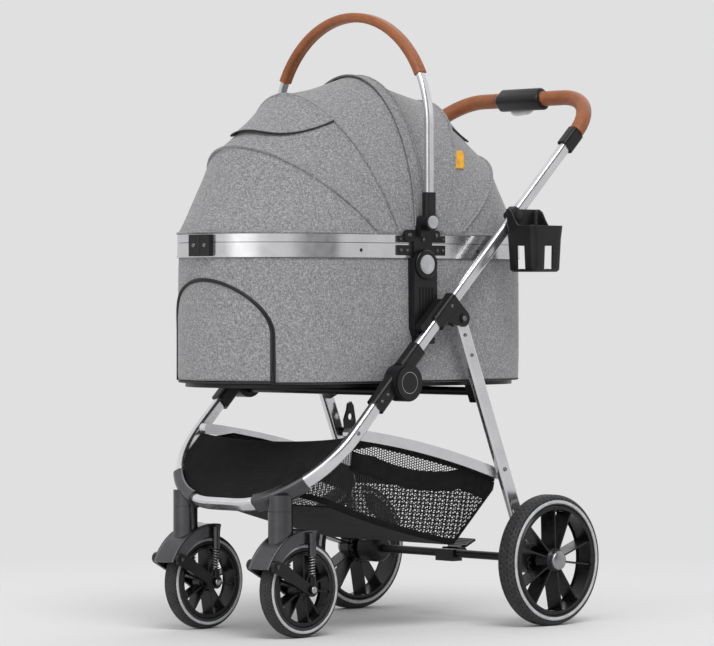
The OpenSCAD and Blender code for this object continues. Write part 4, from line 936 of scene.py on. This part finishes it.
def makeMat():
    bm = bmesh.new()
    outline = [aroundTub(-halfRound + 2 * halfRound * step / 72, -pad["inset"]) for step in range(72)]
    ring = [bm.verts.new((spot.x, spot.y, pad["low"] + 0.003)) for spot in outline]
    face = bm.faces.new(ring)
    made = bmesh.ops.extrude_face_region(bm, geom=[face])
    bmesh.ops.translate(bm, verts=[v for v in made["geom"] if isinstance(v, bmesh.types.BMVert)],
                        vec=(0, 0, pad["high"] - pad["low"] - 0.006))
    bmesh.ops.recalc_face_normals(bm, faces=bm.faces)
    piece = makePiece("matPad", bm, finish["padding"])
    remesh = piece.modifiers.new("remesh", "REMESH")
    remesh.mode = "VOXEL"
    remesh.voxel_size = pad["voxel"]
    bakeModifiers(piece)
    start = [vert.co.copy() for vert in piece.data.vertices]
    cloth = piece.modifiers.new("cloth", "CLOTH")
    cloth.settings.use_pressure = True
    cloth.settings.uniform_pressure_force = pad["pressure"]
    cloth.settings.effector_weights.gravity = 0
    cloth.settings.quality = 4
    cloth.collision_settings.use_collision = False
    cloth.point_cache.frame_start = 1
    cloth.point_cache.frame_end = pad["frames"]
    for step in range(1, pad["frames"] + 1):
        scene.frame_set(step)
    bakeModifiers(piece)
    scene.frame_set(1)
    for vert, old in zip(piece.data.vertices, start):
        move = vert.co - old
        if move.length > pad["cap"]:
            vert.co = old + move.normalized() * pad["cap"]
        # sewn channels across the mat, and a flat underside on the board
        channel = abs(((vert.co.y - tub["middle"]) / pad["channelPitch"]) % 1 - 0.5) * pad["channelPitch"]
        if vert.co.z > (pad["low"] + pad["high"]) / 2:
            vert.co.z -= pad["channelDepth"] * exp(-(channel / pad["channelWidth"]) ** 2)
        vert.co.z = min(max(vert.co.z, pad["low"]), pad["high"] + 0.006)
    piece.data.update()
    return piece


mat = makeMat()
settle(mat, "carrier", "black_cloth", "mat")
print("mat made")


# stations are y, upper and lower edge, and half width at both; the bag narrows towards the front
basket = {"stations": ((-0.3312, 0.2650, 0.2620, 0.1504, 0.1454), (-0.2860, 0.3103, 0.2466, 0.1954, 0.1738),
                       (-0.2460, 0.3503, 0.2333, 0.1954, 0.1724), (-0.2380, 0.3583, 0.2307, 0.1954, 0.1721),
                       (-0.1799, 0.3641, 0.2126, 0.1954, 0.1705), (-0.1074, 0.3515, 0.1924, 0.1954, 0.1692),
                       (-0.0348, 0.3361, 0.1748, 0.1954, 0.1689), (0.0233, 0.3218, 0.1621, 0.1954, 0.1691),
                       (0.0523, 0.3139, 0.1559, 0.1954, 0.1694), (0.1413, 0.2870, 0.2610, 0.1954, 0.1908)),
          "widest": 0.1954, "wall": 0.0012, "from": -0.3308, "to": 0.139, "sleeveFrom": -0.236,
          "floorFrom": -0.268, "floorTo": 0.051}


def bagRow(y):
    rows = basket["stations"]
    y = max(rows[0][0], min(rows[-1][0], y))
    for first, second in zip(rows, rows[1:]):
        if y <= second[0]:
            part = (y - first[0]) / (second[0] - first[0])
            return [a + (b - a) * part for a, b in zip(first[1:], second[1:])]
    return list(rows[-1][1:])


def bagSpot(y, part, side=1, shrink=0.0):
    # part is 0 at the upper edge of a side and 1 at its foot
    top, low, wide, narrow = bagRow(y)
    bulge = 0.004 * sin(pi * part) * (1 if y < 0.1 else 0.3)
    x = wide + (narrow - wide) * part + bulge - shrink
    return Vector((side * min(x, basket["widest"] - shrink), y, top + (low - top) * part))


def bagWay(along, start="from", stop="to"):
    return basket[start] + (basket[stop] - basket[start]) * along


def bagNet(across, along):
    # one cloth: down one side, over the bottom and up the other side
    y = bagWay(along)
    low, _, narrow = bagRow(y)[1:]
    way = across * 3
    if way < 1:
        return bagSpot(y, 0.02 + 0.98 * way, 1, 0.0006)
    if way > 2:
        return bagSpot(y, 0.02 + 0.98 * (3 - way), -1, 0.0006)
    x = (narrow - 0.0006) * (1 - 2 * (way - 1))
    return Vector((x, y, low + 0.0006))


net = gridSheet("basketNet", 90, 60, bagNet, finish["net"], (0.56, 0.375), (0, -0.05, 0.3))
settle(net, "basket_frame", "black_cloth", "basket")


# heights on the side of the bag
sewn = {"sleeve": 0.013, "hem": 0.010, "band": 0.035, "bandFrom": 0.014, "window": 0.027}


def bagDepth(y):
    top, low = bagRow(y)[:2]
    return max(0.02, top - low)


def sleeveSpot(side):
    def place(across, along):
        y = bagWay(along, "sleeveFrom")
        depth = sewn["sleeve"] + 0.004 * sin(pi * along)
        spot = bagSpot(y, min(1, depth / bagDepth(y)) * across, side, -0.0002)
        spot.z += 0.0012 * (1 - across)
        return spot
    return place


def bottomBand(side):
    def place(across, along):
        y = bagWay(along)
        height = bagDepth(y)
        depth = min(0.45, sewn["hem"] / height)
        return bagSpot(y, 1 - depth * (1 - across), side, -0.0003)
    return place


def slantBand(side):
    # broad band from the front of the sleeve down to the foot at the rear
    def place(across, along):
        y = bagWay(along, "sleeveFrom")
        height = bagDepth(y)
        gap = sewn["window"] * sin(pi * min(1, along / 0.75)) ** 0.8
        start = min(0.97, (sewn["bandFrom"] + gap) / height)
        stop = min(0.985, start + (sewn["band"] + 0.004 * along) / height)
        return bagSpot(y, start + (stop - start) * across, side, -0.0004)
    return place


bands = []
for side, word in sides:
    for kind, maker, size in (("sleeve", sleeveSpot, (0.02, 0.4)), ("hem", bottomBand, (0.03, 0.4)),
                              ("band", slantBand, (0.03, 0.4))):
        piece = gridSheet("basket_" + kind + word.title(), 8, 60, maker(side), finish["canvas"], size,
                          (0, -0.05, 0.25))
        area = thicken(piece, basket["wall"], False)
        settle(piece, "basket_frame", "black_cloth")
        if kind != "sleeve":
            bands.append(piece)


def bagFloor(across, along):
    y = bagWay(along, "floorFrom", "floorTo")
    low, _, narrow = bagRow(y)[1:]
    return Vector(((1 - 2 * across) * (narrow - 0.0008), y, low - 0.0004))


floorCloth = gridSheet("basketFloor", 30, 40, bagFloor, finish["canvas"], (0.34, 0.33), (0, -0.05, 0.1))
area = thicken(floorCloth, basket["wall"], False)
settle(floorCloth, "basket_frame", "black_cloth")


def bagEnd(at, low, high, lean):
    def place(across, along):
        top, bottom, wide, narrow = bagRow(at)
        part = low + (high - low) * along
        x = narrow + (wide - narrow) * (1 - part)
        return Vector(((1 - 2 * across) * (x - 0.001), at + lean * sin(pi * across) * 0.006,
                       top + (bottom - top) * part))
    return place


rearPanel = gridSheet("basketRearEdge", 40, 6, bagEnd(basket["to"], 0.0, 1.0, -1), finish["canvas"],
                      (0.38, 0.03), (0, -0.3, 0.25))
thicken(rearPanel, basket["wall"])
settle(rearPanel, "basket_frame", "black_cloth")
for piece in [net, floorCloth, rearPanel] + bands:
    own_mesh(piece)
print("basket made")

apron = {"half": 0.1990, "corner": 0.1737, "inset": 0.035, "start": 0.168, "top": 0.178, "rise": 0.016,
         "sag": 0.010, "wall": 0.0022}
# y and z of the line from which the front loop and the push bar run
hubLine = (-0.130, 0.491)


def plane(x, run, lift):
    # the front loop lies in a plane that slopes down from the hubs
    slope = radians(45)
    return Vector((x, hubLine[0] - run * cos(slope) - lift * sin(slope),
                   hubLine[1] - run * sin(slope) + lift * cos(slope)))


def apronSpot(across, along):
    corner = apron["corner"]
    x = (across * 2 - 1) * apron["half"]
    inner = abs(x) - apron["inset"]
    low = apron["start"] + (sqrt(max(0, corner ** 2 - inner ** 2)) if inner > 0 else corner) - 0.0012
    high = apron["top"] + apron["rise"] * (1 - (x / apron["half"]) ** 2) ** 0.8
    low = max(low, high + 0.002)
    run = high + (low - high) * along
    sag = apron["sag"] * sin(pi * along) ** 0.8 * (1 - (x / 0.2) ** 2)
    return plane(x, run, 0.0048 - sag * 0.35)


cloth = gridSheet("frontApron", 60, 30, apronSpot, finish["canvas"], (0.4, 0.17), (0, 0.4, 0.1))
area = thicken(cloth, apron["wall"])
settle(cloth, "front_frame", "black_cloth", "front_panel")
print("apron made")


def spinRing(name, outline, centre, side, base, material, steps=96):
    # outline holds (radius, height over base) pairs, turned about the axle on one side of the object
    bm = bmesh.new()
    verts = [bm.verts.new((centre[0] + side * (base + height), centre[1], centre[2] + radius))
             for radius, height in outline]
    edges = [bm.edges.new(pair) for pair in zip(verts, verts[1:])]
    bmesh.ops.spin(bm, geom=verts + edges, cent=centre, axis=(1, 0, 0), angle=2 * pi, steps=steps,
                   use_merge=True)
    bmesh.ops.remove_doubles(bm, verts=bm.verts, dist=0.00001)
    bmesh.ops.recalc_face_normals(bm, faces=bm.faces)
    return makePiece(name, bm, material)


# inner and outer radius of the pale ring, and half the tyre's width
wheelTrim = {"rear": (0.1083, 0.1150, 0.0200), "front": (0.0765, 0.0822, 0.0160)}
for word, (centre, radius) in wheels.items():
    inner, outer, face = wheelTrim[word.split("_")[0]]
    outline = [(inner, -0.0015), (inner + 0.0004, 0.0007), (inner + 0.0012, 0.0011),
               ((inner + outer) / 2, 0.0013), (outer - 0.0012, 0.0009), (outer - 0.0003, 0.0003),
               (outer, -0.0018), (inner, -0.0015)]
    rings = [spinRing("ring", outline, centre, side, face, finish["ring"]) for side in (1, -1)]
    ring = joinPieces("tyreRing_" + word, rings)
    settle(ring, "wheel_" + word, "rim")
print("wheel rings made")


def loft(name, rings, material, smooth=True):
    # rings are lists of points of equal length, joined in order and closed at both ends
    bm = bmesh.new()
    rows = [[bm.verts.new(point) for point in ring] for ring in rings]
    count = len(rings[0])
    for first, second in zip(rows, rows[1:]):
        for step in range(count):
            bm.faces.new((first[step], first[(step + 1) % count], second[(step + 1) % count], second[step]))
    bm.faces.new(rows[0][::-1])
    bm.faces.new(rows[-1])
    bmesh.ops.recalc_face_normals(bm, faces=bm.faces)
    return makePiece(name, bm, material, smooth)


def roundedOutline(halfWide, halfHigh, radius, steps=6):
    points = []
    for quarter, (x, y) in enumerate(((1, 1), (-1, 1), (-1, -1), (1, -1))):
        for step in range(steps + 1):
            turn = radians(90 * (quarter + step / steps))
            points.append((x * (halfWide - radius) + radius * cos(turn),
                           y * (halfHigh - radius) + radius * sin(turn)))
    return points


bezel = {"inner": 0.0186, "outer": 0.0282, "base": 0.2041}
hub = {"y": -0.130, "z": 0.468, "base": 0.2388, "inner": 0.0190, "outer": 0.0205}
low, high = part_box("adapter_button_left")
buttonPlace = (0, (low[1] + high[1]) / 2, (low[2] + high[2]) / 2)
inner, outer = bezel["inner"], bezel["outer"]
bezelOutline = [(inner, 0), (inner, 0.0022), (inner + 0.0014, 0.0034), (inner + 0.0032, 0.0040),
                (outer - 0.0030, 0.0031), (outer - 0.0008, 0.0016), (outer, 0), (inner, 0)]
hubOutline = [(hub["inner"], -0.0002), (hub["inner"], 0.0008), (hub["outer"], 0.0008), (hub["outer"], -0.0002),
              (hub["inner"], -0.0002)]
for side, word in sides:
    ring = spinRing("adapterBezel_" + word, bezelOutline, buttonPlace, side, bezel["base"], finish["black"], 64)
    settle(ring, "carrier", "black_plastic")
hubPlace = (0, hub["y"], hub["z"])
for side, word in sides:
    ring = spinRing("hubRing_" + word, hubOutline, hubPlace, side, hub["base"], finish["cap"], 64)
    settle(ring, "handle_frame", "button")

# outer face under a head, its radius and its height
railHead, plateHead, lugHead = (0.1920, 0.0032, 0.0018), (0.1918, 0.0024, 0.0014), (0.1944, 0.0044, 0.0024)
legHead, sleeveHead = (0.2247, 0.0036, 0.0018), (0.2289, 0.0030, 0.0012)
# each head's y and z, for both sides
heads = {
    "carrier": ("dark", [
        (-0.1065, 0.7148) + railHead, (-0.0905, 0.7148) + railHead, (-0.0120, 0.7148) + railHead,
        (0.0030, 0.7148) + railHead, (-0.1075, 0.7358) + plateHead, (-0.0870, 0.7430) + lugHead,
        (0.0040, 0.7358) + plateHead, (-0.0170, 0.7430) + lugHead, (-0.0520, 0.7352, 0.1950, 0.0040, 0.0026)]),
    "rear_frame": ("bright", [
        (0.0307, 0.5556) + legHead, (0.0489, 0.5176) + legHead, (0.1382, 0.2990, 0.2247, 0.0044, 0.0020)]),
    "front_frame": ("bright", [
        (-0.2478, 0.3766, 0.2250, 0.0042, 0.0018), (-0.1760, 0.4469) + sleeveHead,
        (-0.1906, 0.4347) + sleeveHead]),
    "handle_frame": ("dark", [
        (-0.0084, 0.6107, 0.2284, 0.0036, 0.0016), (0.02196, 0.5870, 0.2320, 0.0052, 0.0014)]),
}
headFinish = {"dark": anodised("darkScrew", 120, 0.3), "bright": anodised("legRivet", 128, 0.28)}
for body, (kind, spots) in heads.items():
    places = [((side * face, y, z), (side, 0, 0), radius, height)
              for y, z, face, radius, height in spots for side in (1, -1)]
    piece = rivets("heads_" + body, places, headFinish[kind])
    settle(piece, body, "steel" if kind == "bright" else "dark_plastic")

# rounded lug plates over the rails, behind the carry handle's foot; layers are (outer face, inset)
lugPlate = {"y": -0.0520, "z": 0.7416, "halfLong": 0.0465, "halfHigh": 0.0112, "corner": 0.0066,
            "layers": ((0.1898, 0.0), (0.1936, 0.0), (0.1943, 0.0004), (0.1946, 0.0011))}
for side, word in sides:
    rings = []
    for x, inset in lugPlate["layers"]:
        outline = roundedOutline(*[lugPlate[key] - inset for key in ("halfLong", "halfHigh", "corner")])
        rings.append([(side * x, lugPlate["y"] + across, lugPlate["z"] + up) for across, up in outline])
    lug = loft("lugPlate_" + word, rings, finish["black"], False)
    settle(lug, "carrier", "black_plastic")

# screws of the hinge blocks at both ends of the rails
low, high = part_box("rail_joints")
places = [((x, y - end * 0.0021, 0.7225), (0, end, 0), 0.0042, 0.0016)
          for end, y in ((-1, low[1]), (1, high[1])) for x in (-0.0150, 0.0150)]
piece = rivets("heads_hingeBlocks", places, headFinish["dark"])
settle(piece, "carrier", "dark_plastic")

# domed nuts on both ends of the front axles
nutOutline = [(0.0003, 0.0036), (0.0034, 0.0033), (0.0058, 0.0024), (0.0070, 0.0008), (0.0070, -0.0006),
              (0.0003, -0.0006)]
for side, word in sides:
    y, z = wheels["front_" + word][0][1:]
    low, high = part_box("suspension_arm_" + word)
    nuts = [spinRing("nut", nutOutline, (x - out * 0.0016, y, z), out, 0, finish["steel"], 32)
            for out, x in ((1, high[0]), (-1, low[0]))]
    piece = joinPieces("axleNuts_" + word, nuts)
    settle(piece, "suspension_" + word, "button")

# the coil springs, welded into a mesh of their own that rides with the caster
for side, word in sides:
    bm = bmesh.new()
    bm.from_mesh(nodes["springs_" + word].data)
    bmesh.ops.remove_doubles(bm, verts=bm.verts, dist=0.00001)
    coil = makePiece("coils_" + word, bm, finish["steel"])
    low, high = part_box("springs_" + word)
    settle(coil, "caster_" + word, "steel", "springs_" + word)
    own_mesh(coil)

# pale caps in the middle of the rear wheels
capOutline = [(0.0003, 0.0052), (0.0080, 0.0049), (0.0140, 0.0038), (0.0172, 0.0024), (0.0184, 0.0004),
              (0.0186, -0.0050), (0.0003, -0.0050)]
for side, word in sides:
    centre = wheels["rear_" + word][0]
    low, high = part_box("rim_rear_" + word)
    top = high[0] if side > 0 else -low[0]
    cap = spinRing("hubCap_" + word, capOutline, (0, centre[1], centre[2]), side, top,
                   anodised("hubCapPaint_" + word, 150, 0.3), 64)
    settle(cap, "wheel_rear_" + word, "button")
print("trim and screws made")


# stitches along the inside of the carry grip
stitch = {"pitch": 0.0052, "length": 0.62, "radius": 0.00045, "archRadius": 0.211, "inset": 0.0089,
          "from": 29, "to": 151}
low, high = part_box("carry_grip")
middle, y, height = (low[0] + high[0]) / 2, (low[1] + high[1]) / 2, high[2] - stitch["archRadius"] - 0.009
points = []
for step in range(61):
    turn = radians(stitch["from"] + (stitch["to"] - stitch["from"]) * step / 60)
    reach = stitch["archRadius"] - stitch["inset"]
    points.append(Vector((middle + reach * cos(turn), y, height + reach * sin(turn))))
bm = bmesh.new()
way = 0.0
for first, second in zip(points, points[1:]):
    length = (second - first).length
    lie = (second - first).normalized().to_track_quat("Z", "Y").to_matrix().to_4x4()
    while way < length:
        bmesh.ops.create_cone(bm, cap_ends=True, segments=6, radius1=stitch["radius"], radius2=stitch["radius"],
                              depth=stitch["pitch"] * stitch["length"],
                              matrix=Matrix.Translation(first.lerp(second, way / length)) @ lie)
        way += stitch["pitch"]
    way -= length
seam = makePiece("carrySeam", bm, finish["thread"])
settle(seam, "carry_handle", "leather")
print("stitching made")


bar = {"slope": radians(44), "reach": 0.766}


def onBar(x, run, lift):
    # run goes up the handle from the hub, lift is square to it
    return Vector((x, hubLine[0] + run * cos(bar["slope"]) - lift * sin(bar["slope"]),
                   hubLine[1] + run * sin(bar["slope"]) + lift * cos(bar["slope"])))


housing = {"half": 0.0585, "size": 0.0195, "corner": 0.0125, "slant": 0.24}
rings = []
for end in (-1, 1):
    rows = [(0.0, 0.80), (0.0008, 0.90), (0.0026, 0.97), (0.0055, 1.0)]
    for inset, scale in (rows if end < 0 else rows[::-1]):
        ring = []
        for across, up in roundedOutline(housing["size"], housing["size"], housing["corner"]):
            down = -(across * sin(bar["slope"]) + up * cos(bar["slope"]))
            x = end * (housing["half"] - inset) + (housing["slant"] * down if end > 0 else -0.1 * down)
            ring.append(onBar(x, bar["reach"] + across * scale, up * scale))
        rings.append(ring)
shell = loft("handleShell", rings, finish["black"])
settle(shell, "handle_frame", "dark_plastic", "handle_housing")
grip = {"radius": 0.0149, "from": 0.0500, "to": 0.0702}
turns = [radians(turn) for turn in range(0, 360, 12)]
circle = [(grip["radius"] * cos(turn), grip["radius"] * sin(turn)) for turn in turns]
ends = []
for side in (-1, 1):
    rings = [[onBar(side * x, bar["reach"] + across, up) for across, up in circle]
             for x in (grip["from"], grip["to"])]
    ends.append(loft("end", rings, finish["leather"]))
sleeve = joinPieces("gripEnds", ends)
settle(sleeve, "handle_frame", "leather")

blade = {"start": -0.049, "length": 0.068, "drop": 0.0180, "half": 0.0020, "run": 0.0010, "lift": -0.0190,
         "steps": 16}
# the blade's section, in shares of its half thickness and its drop
section = ((1, 0.0), (1, 0.72), (0.5, 0.96), (0, 1), (-0.6, 0.94), (-1, 0.7), (-1, 0.0))
rings = []
for step in range(blade["steps"] + 1):
    part = step / blade["steps"]
    lean = 2 * part - 1
    drop = blade["drop"] * (1 - lean ** 4) ** 0.5 * (1 - 0.12 * lean) + 0.0006
    spot = onBar(blade["start"] + blade["length"] * part, bar["reach"] + blade["run"], blade["lift"])
    rings.append([spot + Vector((0, blade["half"] * across, -drop * down * 0.94)) for across, down in section])
lever = loft("leverBlade", rings, finish["blade"])
settle(lever, "release_lever", "silver", "release_lever")

cup = {"x": 0.2262, "wide": 0.0768, "broad": 0.088, "y": 0.1775, "z": 0.7953, "depth": 0.120, "dip": 0.032,
       "wall": 0.0026, "corner": 0.011, "cornerSteps": 6, "slotHalf": 0.0108, "foot": 0.004, "even": 0.062,
       "levels": (0.0, 0.004, 0.012, 0.030, 0.050, 0.062, 0.074, 0.086, 0.096, 0.104, 0.112, 0.120)}


def cupColumns(half):
    # positions along one straight wall, with the slot's edges among them
    flat = half - cup["corner"]
    return [-flat, -flat * 0.72, -cup["slotHalf"], -cup["slotHalf"] * 0.3, cup["slotHalf"] * 0.3,
            cup["slotHalf"], flat * 0.72]


def cupRing(level):
    up = level / cup["depth"]
    halfX = cup["wide"] / 2 - 0.0035 * (1 - up)
    halfY = cup["broad"] / 2 - 0.0065 * (1 - up)
    inset = 0.0032 * max(0.0, 1 - level / cup["foot"]) ** 2
    halfX, halfY = halfX - inset, halfY - inset
    ring = []
    for quarter in range(4):
        turn = quarter * pi / 2
        along, across = (halfY, halfX) if quarter % 2 == 0 else (halfX, halfY)
        for spot in cupColumns(along):
            ring.append((across * cos(turn) - spot * sin(turn), across * sin(turn) + spot * cos(turn)))
        flat = along - cup["corner"]
        radius = cup["corner"]
        for step in range(cup["cornerSteps"]):
            swing = turn + radians(90 * step / cup["cornerSteps"])
            baseX = (across - radius) * cos(turn) - flat * sin(turn)
            baseY = (across - radius) * sin(turn) + flat * cos(turn)
            ring.append((baseX + radius * cos(swing), baseY + radius * sin(swing)))
    return ring


def rimDip(x):
    part = max(0.0, min(1.0, (x + cup["wide"] / 2 - 0.012) / 0.026))
    return cup["dip"] * (1 - cos(pi * part)) / 2


# the levels run even up to one height, and above it they follow the dip of the rim
bm = bmesh.new()
rows = []
even = cup["even"]
for level in cup["levels"]:
    row = []
    for x, y in cupRing(level):
        top = cup["depth"] - rimDip(x)
        height = level if level <= even else even + (level - even) * (top - even) / (cup["depth"] - even)
        row.append(bm.verts.new((cup["x"] + cup["wide"] / 2 + 0.001 * (1 - level / cup["depth"]) + x,
                                 cup["y"] + y, cup["z"] - cup["depth"] + height)))
    rows.append(row)
count = len(rows[0])
perWall = count // 4
bm.faces.new(rows[0][::-1])
for level, (first, second) in enumerate(zip(rows, rows[1:])):
    for step in range(count):
        # the slot in the middle of each wall
        if 1 <= level <= 3 and 2 <= step % perWall <= 4:
            continue
        bm.faces.new((first[step], first[(step + 1) % count], second[(step + 1) % count], second[step]))
bmesh.ops.recalc_face_normals(bm, faces=bm.faces)
holder = makePiece("cupShell", bm, finish["plastic"])
layer = holder.modifiers.new("wall", "SOLIDIFY")
layer.thickness = cup["wall"]
layer.offset = -1
soft = holder.modifiers.new("soft", "BEVEL")
soft.width = 0.0006
soft.segments = 2
soft.limit_method = "ANGLE"
soft.angle_limit = radians(50)
bakeModifiers(holder)
band = {"x": 0.2165, "halfWide": 0.0135, "halfHigh": 0.0172, "corner": 0.008}
outline = roundedOutline(band["halfWide"], band["halfHigh"], band["corner"])
rings = [[onBar(band["x"] + across * scale, run, up * scale) for across, up in outline]
         for run, scale in ((0.4060, 0.9), (0.4085, 1.0), (0.4280, 1.0), (0.4305, 0.9))]
clamp = loft("clamp", rings, finish["plastic"])
cupPiece = joinPieces("cupAndClamp", [holder, clamp])
settle(cupPiece, "handle_frame", "dark_plastic", "cup_holder")
print("lever, housing and cup made")
